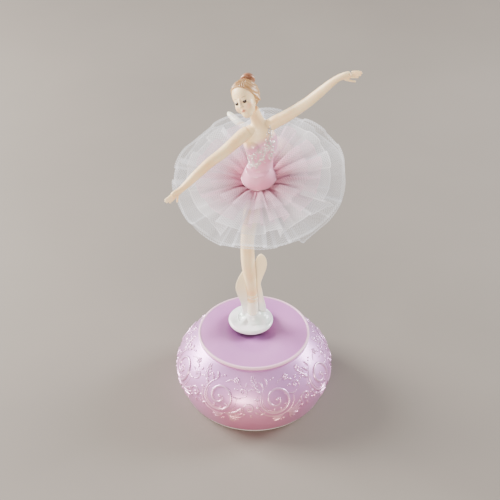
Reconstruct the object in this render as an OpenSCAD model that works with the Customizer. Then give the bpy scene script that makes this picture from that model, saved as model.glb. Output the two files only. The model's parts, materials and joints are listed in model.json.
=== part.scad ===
// Ballerina music box: a resin dancer in a tulle tutu that turns on a round, hollow base.
// The base hides a wind-up comb movement. Z is up, the base stands on z = 0, the dancer faces -Y.

/* [Base] */
// Widest diameter of the base
base_d = 100; // [94:1:120]
// Height of the widest ring above the table
widest_z = 19.5; // [18:0.5:23]
// Diameter on which the base stands
foot_d = 90; // [86:1:96]
// Diameter of the neck under the top plate
neck_d = 70; // [68:1:80]
// Height of the top of the base
base_h = 46; // [44:1:56]
// Thickness of the top plate
plate_t = 3.4; // [2.5:0.1:5]
// Overhang of the top plate beyond the neck
plate_lip = 0.6; // [0.2:0.1:2]
// Thickness of the roof under the top plate
roof_t = 3.2; // [2.5:0.1:5]
// Thickness of the felt ring under the rim
felt_t = 1; // [0.5:0.1:2]
// Depth of the key recess under the sound board
recess_h = 16.4; // [16:0.2:19]
// Thickness of the sound board
board_t = 3; // [2:0.5:4]
// Radius of the key recess
recess_r = 40.5; // [39:0.5:41]
// Width of the ledge that the sound board rests against
ledge = 2.6; // [2:0.2:3]

/* [Spindle] */
// Sideways place of the turning axis
spindle_x = -2; // [-4:0.5:4]
// Depth of the turning axis behind the middle of the base
spindle_y = 7; // [4:0.5:9]
// Radius of the spindle
spindle_r = 1.5; // [1.2:0.1:2]
// Running clearance of a shaft in its bore
run_gap = 0.05; // [0.03:0.01:0.1]
// Gap between the top plate and the turntable
table_gap = 2; // [1:0.5:4]
// Radius of the turntable
table_r = 14.3; // [12:0.1:18]
// Thickness of the turntable's rim
table_t = 3; // [2:0.5:5]

/* [Movement] */
// Thickness of the bedplate
bed_t = 2; // [1.5:0.1:3]
// Module of the crown wheel and its pinion
crown_m = 0.6; // [0.6]
// Teeth of the crown wheel on the spring barrel
crown_teeth = 46; // [46]
// Teeth of the pinion on the cylinder
pinion_teeth = 20; // [20]
// Module of the governor train
train_m = 0.35; // [0.35]
// Teeth of the wheel on the cylinder's far end
train_teeth = 36; // [36]
// Teeth of the governor's small pinion
small_teeth = 9; // [9]
// Module of the worm and its wheel
worm_m = 0.5; // [0.5]
// Teeth of the worm wheel
worm_teeth = 18; // [18]
// Number of notes on the comb
notes = 18; // [12:1:18]
// Spacing of the notes
note_pitch = 0.85; // [0.7:0.01:0.86]
// Radius of the pinned cylinder
cylinder_r = 5.6; // [5:0.1:5.7]
// Standing height of a pin
pin_h = 0.6; // [0.4:0.1:0.7]
// Radius of the spring barrel's drum
drum_r = 12.2; // [11.6:0.1:12.2]
// Height of the spring barrel's drum
drum_h = 7; // [6:0.5:8]

/* [Dancer] */
// Outer radius of the long tulle layer
tutu_r = 52.5; // [46:0.5:60]
// Outer radius of the middle tulle layer
mid_tulle_r = 44; // [38:0.5:45]
// Outer radius of the short pink tulle layer
pink_tulle_r = 36; // [30:0.5:37]
// Forward tilt of the hips and the tutu
hip_tilt = 17; // [10:1:20]
// Sideways tilt of the hips and the tutu
hip_roll = 4; // [0:1:6]
// Radius of the basque's lower edge
basque_r = 10.2; // [9.6:0.1:12]
// Radius of the gathered waistband
band_r = 9.2; // [8.8:0.1:9.4]
// Radius of the pegs that join the glued castings
peg_r = 1.6; // [1:0.1:2]
// Glue gap round a peg
glue_gap = 0.12; // [0.05:0.01:0.2]

/* [Hidden] */
$fn = 64;
eps = 0.01;
limb_sides = 14;
PI2 = 2 * PI;

base_r = base_d / 2;
foot_r = foot_d / 2;
neck_r = neck_d / 2;
neck_z = base_h - plate_t;
plate_r = neck_r + plate_lip;
board_r = recess_r - 0.4;
board_z = felt_t + recess_h;
chamber_z = board_z + board_t;
chamber_r = recess_r - ledge - 0.4;
roof_z = neck_z - roof_t;
roof_hole_r = neck_r - 5;
chamber_top_r = min(neck_r + 0.5, chamber_r);
board_screw_r = chamber_r - 2;
board_screw_angles = [90, 210, 330];
axis_at = [spindle_x, spindle_y, 0];

// Movement heights. Its local origin is the turning axis, and the cylinder runs along -Y.
bed_z = chamber_z;
bed_top = bed_z + bed_t;
flange_z = bed_top + 2.6;
flange_t = 1.5;
crown_h = 1.3;
crown_r = crown_m * crown_teeth / 2;
crown_width = 2;
pinion_r = crown_m * pinion_teeth / 2;
drum_z = flange_z + flange_t;
drum_top = drum_z + drum_h;
cover_t = 1;
cyl_z = drum_z + 0.75 + pinion_r;
gear_t = 1.7;
cyl_arbor_r = 1;
bracket_t = 1.4;
pinion_y = -(crown_r - gear_t / 2 + 0.05);
near_bracket_y = pinion_y - gear_t - 0.5;
sleeve_y = near_bracket_y - bracket_t - 0.4;
sleeve_l = notes * note_pitch;
train_wheel_t = 1.1;
train_wheel_y = sleeve_y - sleeve_l - 0.3;
far_bracket_y = train_wheel_y - train_wheel_t - 0.3;
far_y = far_bracket_y - bracket_t;
train_r = train_m * train_teeth / 2;
small_r = train_m * small_teeth / 2;
worm_wheel_r = worm_m * worm_teeth / 2;
worm_wheel_t = 1;
gov_x = -(train_r + small_r);
gov_arbor_r = 0.5;
worm_wheel_y = far_bracket_y - 0.2;
worm_core_r = 1;
worm_pitch_r = 1.5;
worm_x = gov_x - worm_wheel_r - worm_pitch_r;
worm_y = worm_wheel_y - worm_wheel_t / 2;
worm_turns = 4;
worm_l = PI * worm_m * worm_turns + 1.2;
bed_back_y = 17;
bed_front_y = far_y - 2.2;
bed_left_x = -17;
bed_right_x = 22;
tip_gap = 0.12;
tip_x = cylinder_r + pin_h + tip_gap;
comb_root_x = 15.5;
comb_end_x = bed_right_x - 0.5;
comb_t = 0.8;
comb_z = cyl_z - comb_t / 2;
bush_z = neck_z - 3.4;
bridge_t = 1.2;
bridge_z = min(drum_top + cover_t + 2.4, bush_z - bridge_t - 0.3);
cover_hub_h = bridge_z - 0.4 - drum_top - cover_t;
bridge_leg_x = crown_r + crown_width / 2 + 0.4;

table_z = base_h + table_gap;
table_top = table_z + table_t;

// Dancer's landmarks
hip_at = [2.8, 7, 160];
foot_at = [-0.9, 6, table_top + 4];
neck_top = [-0.6, 5.2, 207.4];
right_shoulder = [-5.6, 3.6, 193.6];
left_shoulder = [12, 8.8, 197.8];
tutu_shift = [-3, 0, 0];
band_hole_r = 7.6;
dowel_r = 2.5;

function unit(v) = v / norm(v);
function inv_deg(a) = tan(a) * 180 / PI - a;

// Outer radius of the base at height z: two quarter cosines that meet at the widest ring
function base_profile(z) =
    z > widest_z ? neck_r + (base_r - neck_r) * cos(90 * (z - widest_z) / (neck_z - widest_z))
                 : foot_r + (base_r - foot_r) * cos(90 * (widest_z - z) / (widest_z - felt_t));

// One tooth's outline, from its left root to its right root, centred on angle a
function tooth(m, n, slack, a, add, ded) =
    let (r = m * n / 2, rb = r * cos(20), ra = r + add, rr = r - ded,
         half = 90 / n - slack / 2 / r * 180 / PI / 2 + inv_deg(20),
         r0 = max(rb, rr + eps),
         radii = [for (i = [0:4]) r0 + (ra - r0) * i / 4],
         side = [for (q = radii) [q, half - inv_deg(acos(min(1, rb / q)))]])
    concat([[rr * cos(a - side[0][1]), rr * sin(a - side[0][1])]],
           [for (s = side) [s[0] * cos(a - s[1]), s[0] * sin(a - s[1])]],
           [for (i = [4:-1:0]) [side[i][0] * cos(a + side[i][1]), side[i][0] * sin(a + side[i][1])]],
           [[rr * cos(a + side[0][1]), rr * sin(a + side[0][1])]]);

module gear_outline(m, n, slack, turn = 0, add = 0.9, ded = 1.15) {
    polygon([for (k = [0:n - 1]) each tooth(m, n, slack, 360 * k / n + turn, m * add, m * ded)]);
}

// A wheel whose axis lies along Y, from y down to y - t, centred on [x, z]
module wheel_on_y(x, z, y, t) {
    translate([x, y, z]) rotate([90, 0, 0]) linear_extrude(t) children();
}

// A straight pin along Y, from y down to y - l
module rod_on_y(r, x, z, y, l) {
    translate([x, y, z]) rotate([90, 0, 0]) cylinder(r = r, h = l);
}

// A round-cornered plate
module soft_plate(x0, x1, y0, y1, t, r) {
    linear_extrude(t) polygon([
        for (c = [[x1 - r, y1 - r, 0], [x0 + r, y1 - r, 90], [x0 + r, y0 + r, 180], [x1 - r, y0 + r, 270]])
            for (a = [0:15:90]) [c[0] + r * cos(c[2] + a), c[1] + r * sin(c[2] + a)]]);
}

// A pan-head screw along Z, with its head's underside at z = 0 and its shank below
module screw(r, l, head_r, head_h) {
    difference() {
        union() {
            translate([0, 0, -l]) cylinder(r = r, h = l, $fn = 24);
            cylinder(r = head_r, h = head_h, $fn = 24);
        }
        translate([-head_r, -0.2, head_h / 2]) cube([2 * head_r, 0.4, head_h]);
    }
}

// Lofted solid through rings of equal count
module loft(rings) {
    n = len(rings[0]);
    last = len(rings) - 1;
    polyhedron(
        points = [for (r = rings) each r],
        faces = concat([[for (i = [0:n - 1]) i]], [[for (i = [n - 1:-1:0]) last * n + i]],
                       [for (j = [0:last - 1]) for (i = [0:n - 1])
                           each [[j * n + i, (j + 1) * n + i, j * n + (i + 1) % n],
                                 [j * n + (i + 1) % n, (j + 1) * n + i, (j + 1) * n + (i + 1) % n]]]),
        convexity = 8);
}

// Ring of a limb: centre c, along t, half widths a (sideways) and b
function limb_ring(c, t, side, a, b, n) =
    let (u = unit(cross(side, t)), v = cross(t, u))
    [for (i = [0:n - 1]) c + u * a * cos(360 * i / n) + v * b * sin(360 * i / n)];

// A limb through rows of [centre, half width, half depth]
module limb(rows, side, n = limb_sides) {
    last = len(rows) - 1;
    loft([for (i = [0:last])
        let (p = rows[max(0, i - 1)][0], q = rows[min(last, i + 1)][0])
        limb_ring(rows[i][0], unit(q - p), side, rows[i][1], rows[i][2], n)]);
}

module on_axis() { translate(axis_at) children(); }

// Places children in the tilted frame of the hips
module at_hips() { translate(hip_at) rotate([hip_tilt, -hip_roll, 0]) children(); }

// ---- Base ----

module felt_ring() {
    color("ivory") difference() {
        cylinder(r = foot_r - 1, h = felt_t);
        translate([0, 0, -1]) cylinder(r = recess_r + 0.8, h = felt_t + 2);
    }
}

module base_shell() {
    outer = [for (i = [0:24]) let (z = felt_t + (neck_z - felt_t) * i / 24) [base_profile(z), z]];
    color("plum") difference() {
        union() {
            difference() {
                rotate_extrude($fn = 96) polygon(concat(outer, [[0, neck_z], [0, felt_t]]));
                rotate_extrude($fn = 96) polygon([[0, 0], [recess_r, 0], [recess_r, chamber_z],
                    [chamber_r, chamber_z], [chamber_r, chamber_z + 14], [chamber_top_r, roof_z],
                    [0, roof_z]]);
                cylinder(r = roof_hole_r, h = base_h);
            }
            for (a = board_screw_angles) rotate(a)
                translate([board_screw_r, 0, chamber_z + 0.5]) cylinder(r = 3.2, h = 8.5, $fn = 32);
        }
        for (a = board_screw_angles) rotate(a)
            translate([board_screw_r, 0, chamber_z - 1]) cylinder(r = 1.1, h = 8, $fn = 24);
    }
}

module top_plate() {
    lip_r = 1;
    color("thistle") difference() {
        rotate_extrude($fn = 96) polygon(concat(
            [[0, neck_z - 2.4], [roof_hole_r - 0.2, neck_z - 2.4], [roof_hole_r - 0.2, neck_z],
                [plate_r, neck_z]],
            [for (a = [0:15:90]) [plate_r - lip_r + lip_r * cos(a), base_h - lip_r + lip_r * sin(a)]],
            [[0, base_h]]));
        on_axis() translate([0, 0, neck_z - 3]) cylinder(r = spindle_r + 1.5, h = plate_t + 4, $fn = 48);
    }
}

module spindle_bush() {
    color("gold") on_axis() difference() {
        union() {
            translate([0, 0, bush_z]) cylinder(r = spindle_r + 1.5, h = base_h - bush_z, $fn = 48);
            translate([0, 0, bush_z]) cylinder(r = spindle_r + 2.6, h = 1, $fn = 48);
        }
        translate([0, 0, neck_z - 5]) cylinder(r = spindle_r + run_gap, h = 12, $fn = 48);
    }
}

module sound_board() {
    color("burlywood") difference() {
        translate([0, 0, board_z]) cylinder(r = board_r, h = board_t);
        on_axis() translate([0, 0, board_z - 1]) cylinder(r = 3.6, h = board_t + 2);
        for (a = board_screw_angles) rotate(a)
            translate([board_screw_r, 0, board_z - 1]) cylinder(r = 1.5, h = board_t + 2, $fn = 32);
        for (p = bed_screw_points()) on_axis()
            translate([p[0], p[1], board_z - 1]) cylinder(r = 1.3, h = board_t + 2, $fn = 32);
    }
}

module sound_board_screws() {
    color("silver") for (a = board_screw_angles) rotate(a)
        translate([board_screw_r, 0, board_z]) rotate([180, 0, 0]) screw(1.05, 9, 2.4, 1.3);
}

// ---- Movement frame ----

function bed_screw_points() = [[bed_left_x + 3.4, bed_back_y - 3.4], [bed_right_x - 3.4, bed_back_y - 3.4],
                               [bed_right_x - 5, bed_front_y + 3.6]];
function comb_screw_points() = [for (s = [-1, 1]) [(comb_root_x + comb_end_x) / 2,
                                                   sleeve_y - sleeve_l / 2 + s * sleeve_l * 0.3]];
function bridge_feet() = [for (s = [-1, 1]) [s * (bridge_leg_x - 1.9), 0]];

module bedplate() {
    color("goldenrod") on_axis() difference() {
        translate([0, 0, bed_z]) soft_plate(bed_left_x, bed_right_x, bed_front_y, bed_back_y, bed_t, 4);
        translate([0, 0, bed_z - 1]) cylinder(r = spindle_r + run_gap, h = bed_t + 2);
        for (p = bed_screw_points()) translate([p[0], p[1], bed_z - 1]) cylinder(r = 0.9, h = bed_t + 2,
            $fn = 24);
        for (p = concat(bridge_feet(), comb_screw_points()))
            translate([p[0], p[1], bed_z - 1]) cylinder(r = 0.75, h = bed_t + 2, $fn = 24);
    }
}

module bedplate_screws() {
    color("silver") on_axis() for (p = bed_screw_points())
        translate([p[0], p[1], board_z]) rotate([180, 0, 0]) screw(0.85, board_t + bed_t, 2, 1);
}

module comb_block() {
    color("dimgray") on_axis() difference() {
        translate([comb_root_x - 0.5, sleeve_y - sleeve_l, bed_top])
            cube([comb_end_x - comb_root_x + 0.5, sleeve_l, comb_z - bed_top]);
        for (p = comb_screw_points()) translate([p[0], p[1], bed_top - 1]) cylinder(r = 0.75, h = 20,
            $fn = 24);
    }
}

module steel_comb() {
    tooth_w = note_pitch * 0.7;
    color("lightsteelblue") on_axis() translate([0, 0, comb_z]) difference() {
        linear_extrude(comb_t) union() {
            translate([comb_root_x, sleeve_y - sleeve_l]) square([comb_end_x - comb_root_x, sleeve_l]);
            for (i = [0:notes - 1])
                translate([tip_x, sleeve_y - (i + 0.5) * note_pitch - tooth_w / 2])
                    square([comb_root_x - tip_x + eps, tooth_w]);
        }
        for (p = comb_screw_points()) translate([p[0], p[1], -1]) cylinder(r = 0.95, h = comb_t + 2,
            $fn = 24);
    }
}

module comb_screws() {
    color("silver") on_axis() for (p = comb_screw_points())
        translate([p[0], p[1], comb_z + comb_t]) screw(0.7, comb_z + comb_t - bed_z - 0.4, 1.6, 0.9);
}

// Upright plate across the cylinder's axis, with a foot on the bedplate
module bearing_bracket(y, x0, x1) {
    on_axis() difference() {
        translate([x0, y - bracket_t, bed_top]) cube([x1 - x0, bracket_t, cyl_z + 2.4 - bed_top]);
        rod_on_y(cyl_arbor_r + run_gap, 0, cyl_z, y + 1, bracket_t + 2);
    }
}

module cylinder_near_bracket() { color("khaki") bearing_bracket(near_bracket_y, -2.6, 2.6); }
module cylinder_far_bracket() { color("khaki") bearing_bracket(far_bracket_y, -2.3, 5); }

// One folded plate holds both pivots of the wheel and both pivots of the worm
module governor_frame() {
    inner_y = train_wheel_y + 1.6;
    front_y = worm_wheel_y - worm_wheel_t - 0.4 - bracket_t;
    left = worm_x - 1.8;
    right = gov_x + 1.6;
    shelf_z = cyl_z + worm_l / 2 + 0.2;
    shelf_end = worm_x + 2.2;
    color("khaki") on_axis() difference() {
        union() {
            translate([gov_x - 2.6, front_y, bed_top]) cube([right - gov_x + 2.6, bracket_t,
                shelf_z + 1 - bed_top]);
            translate([left, front_y, shelf_z]) cube([right - left, bracket_t, 1]);
            translate([left, front_y, shelf_z]) cube([shelf_end - left, inner_y + bracket_t - front_y, 1]);
            translate([shelf_end - 2, inner_y, cyl_z - 1.6]) cube([2, bracket_t, shelf_z + 1 - cyl_z + 1.6]);
            translate([shelf_end - 2, inner_y, cyl_z - 1.6]) cube([gov_x + 0.9 - shelf_end + 2, bracket_t,
                3.2]);
            translate([left, front_y, bed_top]) cube([right - left, worm_y + 1.6 - front_y, 0.9]);
        }
        rod_on_y(gov_arbor_r + run_gap, gov_x, cyl_z, inner_y + bracket_t + 1, 12);
        translate([worm_x, worm_y, bed_top - 1]) cylinder(r = gov_arbor_r + run_gap, h = 30, $fn = 32);
    }
}

module barrel_bridge() {
    leg_t = 1.2;
    foot_l = 3.2;
    outer = bridge_leg_x + leg_t;
    color("khaki") on_axis() difference() {
        union() {
            translate([-outer, -4, bridge_z]) cube([2 * outer, 8, bridge_t]);
            for (s = [0, 1]) mirror([s, 0, 0]) {
                translate([bridge_leg_x, -4, bed_top]) cube([leg_t, 8, bridge_z - bed_top + eps]);
                translate([outer - leg_t - foot_l, -4, bed_top]) cube([foot_l + leg_t, 8, 0.9]);
            }
        }
        translate([0, 0, bridge_z - 1]) cylinder(r = spindle_r + run_gap, h = bridge_t + 2);
        for (p = bridge_feet()) translate([p[0], p[1], bed_top - 1]) cylinder(r = 0.85, h = 3, $fn = 24);
    }
}

module bridge_screws() {
    color("silver") on_axis() for (p = bridge_feet())
        translate([p[0], p[1], bed_top + 0.9]) screw(0.7, bed_t + 0.6, 1.3, 0.6);
}

// ---- Winding ----

hub_r = 2.6;
hub_h = 2.2;

// Wrap spring round the arbor's hub: it grips one way and slips the other
module clutch_spring() {
    wire = 0.3;
    coil_r = hub_r + wire + 0.1;
    turns = 2.5;
    steps = 18;
    lift = 2 * wire + 0.06;
    z0 = bed_top + wire + 0.1;
    path = concat(
        [for (i = [0:turns * steps]) let (a = 360 * i / steps)
            [coil_r * cos(a), coil_r * sin(a), z0 + lift * i / steps]],
        [for (k = [1:3]) [-coil_r, -1.5 * k, z0 + lift * turns]],
        [[-coil_r, -5.1, z0 + lift * turns - 0.7], [-coil_r, -5.2, bed_top + 0.02]]);
    color("silver") on_axis() limb([for (p = path) [p, wire, wire]], [0, 0, 1], 8);
}

module winding_arbor() {
    color("silver") on_axis() union() {
        translate([0, 0, felt_t + 5]) cylinder(r = spindle_r, h = drum_top - 0.6 - felt_t - 5);
        translate([0, 0, bed_top + 0.1]) cylinder(r = hub_r, h = hub_h);
    }
}

module winding_key() {
    wing_r = 10.5;
    wing_t = 1.8;
    low = felt_t + 0.8;
    color("gold") on_axis() difference() {
        union() {
            translate([0, 0, low + 3]) cylinder(r = 3, h = board_z - 0.8 - low - 3);
            for (s = [0, 180]) rotate(s) difference() {
                translate([0, wing_t / 2, low + 5]) rotate([90, 0, 0]) linear_extrude(wing_t) union() {
                    translate([wing_r - 5, 0]) circle(r = 5, $fn = 48);
                    translate([0, -3]) square([wing_r - 5, 6]);
                }
                translate([wing_r - 5, wing_t, low + 5]) rotate([90, 0, 0]) cylinder(r = 2.3, h = 2 * wing_t,
                    $fn = 48);
            }
        }
        translate([0, 0, felt_t + 5]) cylinder(r = spindle_r, h = 20);
    }
}

// ---- Spring barrel and spindle ----

module spring_barrel() {
    color("goldenrod") on_axis() difference() {
        union() {
            translate([0, 0, flange_z]) cylinder(r = crown_r + crown_width / 2, h = flange_t);
            translate([0, 0, drum_z - eps]) cylinder(r = drum_r, h = drum_h + eps);
            translate([0, 0, drum_z - eps]) linear_extrude(crown_h + eps) crown_teeth_outline();
        }
        translate([0, 0, drum_z]) cylinder(r = drum_r - 0.8, h = drum_h + 1);
        translate([0, 0, flange_z - 1]) cylinder(r = spindle_r + run_gap, h = flange_t + 2);
    }
}

// Slim radial teeth that stand up from the flange
module crown_teeth_outline() {
    tooth_w = crown_m * 1.1;
    for (k = [0:crown_teeth - 1]) rotate(360 * (k + 0.5) / crown_teeth - 90)
        translate([crown_r - crown_width / 2, -tooth_w / 2]) square([crown_width - 0.1, tooth_w]);
}

module mainspring() {
    turns = 5;
    steps = 20;
    strip = 0.4;
    inner_r = spindle_r + 1.3;
    outer_r = drum_r - 1.4;
    count = turns * steps;
    function at(i, off) = let (r = inner_r + (outer_r - inner_r) * i / count + off, a = 360 * i / steps)
        [r * cos(a), r * sin(a)];
    color("slategray") on_axis() translate([0, 0, drum_z + 0.3]) linear_extrude(drum_h - 0.8)
        polygon(concat([for (i = [0:count]) at(i, 0)], [for (i = [count:-1:0]) at(i, strip)]));
}

module barrel_cover() {
    color("goldenrod") on_axis() difference() {
        union() {
            translate([0, 0, drum_top]) cylinder(r = drum_r, h = cover_t);
            translate([0, 0, drum_top + cover_t - eps]) cylinder(r = spindle_r + 1.4, h = cover_hub_h);
        }
        translate([0, 0, drum_top - 1]) cylinder(r = spindle_r, h = 8);
    }
}

module spindle() {
    color("silver") on_axis() translate([0, 0, drum_top]) cylinder(r = spindle_r,
        h = table_top + 1.5 - drum_top);
}

// ---- Cylinder ----

module pinned_cylinder() {
    color("gold") on_axis() difference() {
        rod_on_y(cylinder_r, 0, cyl_z, sleeve_y, sleeve_l);
        rod_on_y(cylinder_r - 0.9, 0, cyl_z, sleeve_y - 1.2, sleeve_l - 2.4);
        rod_on_y(cyl_arbor_r, 0, cyl_z, sleeve_y + 1, sleeve_l + 2);
    }
}

// A generic pattern of pins: a rising scale and its answer, five pins to a note
module cylinder_pins() {
    per_note = 5;
    color("gold") on_axis() for (i = [0:notes - 1]) for (k = [0:per_note - 1])
        translate([0, sleeve_y - (i + 0.5) * note_pitch, cyl_z])
            rotate([0, 360 * k / per_note + (i * 37 + k * k * 11) % 72, 0])
                translate([0, 0, cylinder_r]) cylinder(r = 0.2, h = pin_h, $fn = 16);
}

module cylinder_arbor() {
    color("silver") on_axis() rod_on_y(cyl_arbor_r, 0, cyl_z, pinion_y + 0.3, pinion_y + 0.3 - far_y + 0.3);
}

module cylinder_pinion() {
    color("ivory") on_axis() wheel_on_y(0, cyl_z, pinion_y, gear_t) difference() {
        gear_outline(crown_m, pinion_teeth, 0.5, 90);
        circle(r = cyl_arbor_r);
    }
}

module cylinder_wheel() {
    color("goldenrod") on_axis() wheel_on_y(0, cyl_z, train_wheel_y, train_wheel_t) difference() {
        gear_outline(train_m, train_teeth, 0.3, 180);
        circle(r = cyl_arbor_r);
    }
}

// ---- Governor ----

module governor_arbor() {
    end = worm_wheel_y - worm_wheel_t - 0.4 - bracket_t;
    start = train_wheel_y + 1.6 + bracket_t;
    color("silver") on_axis() rod_on_y(gov_arbor_r, gov_x, cyl_z, start + 0.2, start - end + 0.4);
}

module governor_pinion() {
    color("silver") on_axis() wheel_on_y(gov_x, cyl_z, train_wheel_y, train_wheel_t) difference() {
        gear_outline(train_m, small_teeth, 0.3, 180 / small_teeth);
        circle(r = gov_arbor_r);
    }
}

module governor_worm_wheel() {
    color("ivory") on_axis() wheel_on_y(gov_x, cyl_z, worm_wheel_y, worm_wheel_t) difference() {
        gear_outline(worm_m, worm_teeth, 0.5, 180 / worm_teeth, 0.7, 0.95);
        circle(r = gov_arbor_r);
    }
}

// Single-start worm: a slim helical thread on a turned core with two pivots
module governor_worm() {
    pitch = PI * worm_m;
    turns = worm_turns;
    steps = 20;
    add = 0.35;
    root = worm_core_r - 0.15;
    tip_half = 0.12;
    root_half = 0.36;
    z0 = cyl_z - pitch * turns / 2;
    rings = [for (i = [0:turns * steps]) let (a = 360 * i / steps, z = z0 + pitch * i / steps,
                                               k = min(1, min(i, turns * steps - i) / 6),
                                               tip = root + (worm_pitch_r + add - root) * max(k, 0.3))
        [[root * cos(a), root * sin(a), z + root_half], [tip * cos(a), tip * sin(a), z + tip_half],
         [tip * cos(a), tip * sin(a), z - tip_half], [root * cos(a), root * sin(a), z - root_half]]];
    color("silver") on_axis() translate([worm_x, worm_y, 0]) union() {
        loft(rings);
        translate([0, 0, cyl_z - worm_l / 2]) cylinder(r = worm_core_r, h = worm_l, $fn = 40);
        translate([0, 0, bed_top + 0.1]) cylinder(r = gov_arbor_r, h = cyl_z + worm_l / 2 + 1.2 - bed_top,
            $fn = 32);
    }
}

// Two-bladed fan that brakes the worm
module air_brake() {
    z = bed_top + 1.3;
    h = 2.8;
    color("silver") on_axis() translate([worm_x, worm_y, z]) difference() {
        union() {
            cylinder(r = 1.1, h = h, $fn = 32);
            translate([-2.6, -0.2, 0]) cube([5.2, 0.4, h]);
        }
        translate([0, 0, -1]) cylinder(r = gov_arbor_r, h = h + 2, $fn = 32);
    }
}

// ---- Turntable and figure ----

module turntable() {
    round_r = 1.4;
    color("honeydew") on_axis() difference() {
        rotate_extrude($fn = 96) polygon(concat(
            [[0, table_z], [table_r - round_r, table_z]],
            [for (a = [-90:15:90]) [table_r - round_r + round_r * cos(a),
                table_z + table_t / 2 + table_t / 2 * sin(a)]],
            [[8, table_top + 0.6], [5, table_top + 2], [0, table_top + 2]]));
        translate([0, 0, table_z - 1]) cylinder(r = spindle_r, h = table_t + 2.5);
    }
}

// Flat petal between two points, as a hull of small spheres
module petal(low, high, half_w, thick) {
    hull() {
        translate(low) sphere(r = thick, $fn = 20);
        translate((low + 2 * high) / 3 + [half_w, 0, 0]) sphere(r = thick, $fn = 20);
        translate((low + 2 * high) / 3 - [half_w, 0, 0]) sphere(r = thick, $fn = 20);
        translate(high) sphere(r = thick, $fn = 20);
    }
}

// Moulded petals round the ankle carry the thin leg
module petal_support() {
    floor_z = table_top + 2;
    color("mintcream") difference() {
        union() {
            translate([foot_at[0], foot_at[1], floor_z]) cylinder(r1 = 7.5, r2 = 4.6, h = 8, $fn = 40);
            petal([2.4, 8.4, floor_z + 4], [4.8, 10.4, 100], 3.2, 1);
            petal([-3.8, 7.4, floor_z + 4], [-8.4, 8, 90], 3.6, 1);
        }
        standing_leg_solid(glue_gap);
    }
}

leg_rows = [
    [foot_at, 2.3, 2.4], [[-0.9, 6, 62], 3.1, 3.2], [[-1, 6, 67.5], 2.9, 3], [[-1.7, 6.2, 76], 3.1, 3.2],
    [[-3.1, 6.5, 90], 3.9, 4.1], [[-4, 6.2, 103], 4, 4.1], [[-4.1, 5.6, 113], 3.9, 3.9],
    [[-2.9, 5.8, 126], 4.4, 4.7], [[-0.8, 6.4, 140], 5.2, 5.6], [[1.2, 7.3, 149], 6, 6.4],
    [[2.4, 8, 154], 6.4, 6.1]];

module standing_leg_solid(grow) {
    limb([for (r = leg_rows) [r[0], r[1] + grow, r[2] + grow]], [0, 1, 0]);
}

// Standing leg and pelvis, cast together. A cone fills the waistband and a dowel enters the torso.
module standing_leg() {
    root = raised_rows[0][0];
    color("bisque") difference() {
        union() {
            standing_leg_solid(0);
            at_hips() translate([0, 0, -6.5]) cylinder(r1 = 7, r2 = band_hole_r, h = 6.5 - 0.05);
            at_hips() translate([0, 0, -3]) cylinder(r = dowel_r, h = 7);
            limb([[[3.2, 8, 152.4], 5, 4.6], [root - [0, 2, 0], 5.2, 5], [root + [0, 2, 0], 5.2, 5]],
                [0, 0, 1]);
        }
        translate(root - [30, 0, 30]) cube([60, 40, 60]);
        translate(root + [0, 1, 0]) rotate([90, 0, 0]) cylinder(r = peg_r + glue_gap, h = 6, $fn = 24);
    }
}

raised_rows = [
    [[4, 14.5, 150.6], 5.2, 5], [[9, 26, 152], 5, 4.8], [[16, 38, 153.4], 4.3, 4.2],
    [[20.4, 46, 154.4], 3.6, 3.6],
    [[15, 52.5, 155.2], 3.7, 3.6], [[3.4, 61, 156.2], 3.3, 3.2], [[-5, 67.6, 157], 2.4, 2.4],
    [[-10, 73, 157.6], 2.5, 2.4], [[-14.6, 79.5, 158.2], 2, 1.8], [[-16.8, 82.6, 158.5], 1.3, 1.2]];

// Leg stretched out behind, cut flat where it meets the pelvis, with a peg
module raised_leg() {
    root = raised_rows[0][0];
    color("bisque") union() {
        difference() {
            limb(concat([[root - [0.4, 1, 0], 5.2, 5]], raised_rows), [0, 0, 1]);
            translate(root - [30, 40, 30]) cube([60, 40, 60]);
        }
        translate(root + [0, 1, 0]) rotate([90, 0, 0]) cylinder(r = peg_r, h = 5.6, $fn = 24);
    }
}

module tulle_waistband() {
    color("pink") at_hips() translate([0, 0, -5]) difference() {
        cylinder(r = band_r, h = 4.6);
        translate([0, 0, -1]) cylinder(r = band_hole_r + 0.1, h = 8);
    }
}

// A gathered tulle layer: a shallow dish, thin at the waist and fluffy at the hem
module tulle_layer(outer_r, hem_low, hem_high, root_low, root_high) {
    mid_r = outer_r * 0.55;
    at_hips() difference() {
        translate(tutu_shift * (outer_r / tutu_r)) rotate_extrude($fn = 96) polygon([
            [0, root_low], [14, root_low], [mid_r, hem_low * 0.7 + root_low * 0.3], [outer_r - 1, hem_low],
            [outer_r, (hem_low + hem_high) / 2], [outer_r - 1, hem_high],
            [mid_r, hem_high * 0.7 + root_high * 0.3],
            [14, root_high], [0, root_high]]);
        translate([0, 0, -20]) cylinder(r = band_r + 0.1, h = 40);
    }
}

module long_tulle_skirt() { color("white") tulle_layer(tutu_r, -4.5, 0.4, -4.8, -3.5); }
module middle_tulle_skirt() { color("lavenderblush") tulle_layer(mid_tulle_r, 1, 5, -3.2, -2); }
module pink_tulle_skirt() { color("pink") tulle_layer(pink_tulle_r, 4.4, 8.4, -1.7, -0.4); }

// Rows of the torso: centre, half width, half depth
body_rows = [
    [[3.2, 7.1, 165], 9, 8.2], [[3.6, 7.2, 168.5], 7.6, 6.4], [[3.8, 7, 174], 7.4, 6],
    [[3.9, 6.4, 181], 8.2, 6.2], [[3.9, 5.8, 187], 8.8, 6.4], [[3.6, 6.2, 192], 8, 5.2],
    [[2.6, 7, 196.6], 5.4, 4], [[1.9, 7, 199.6], 3.7, 3.6], [[0.8, 6.2, 203.4], 3.4, 3.4],
    [neck_top, 3.5, 3.5]];

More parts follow.
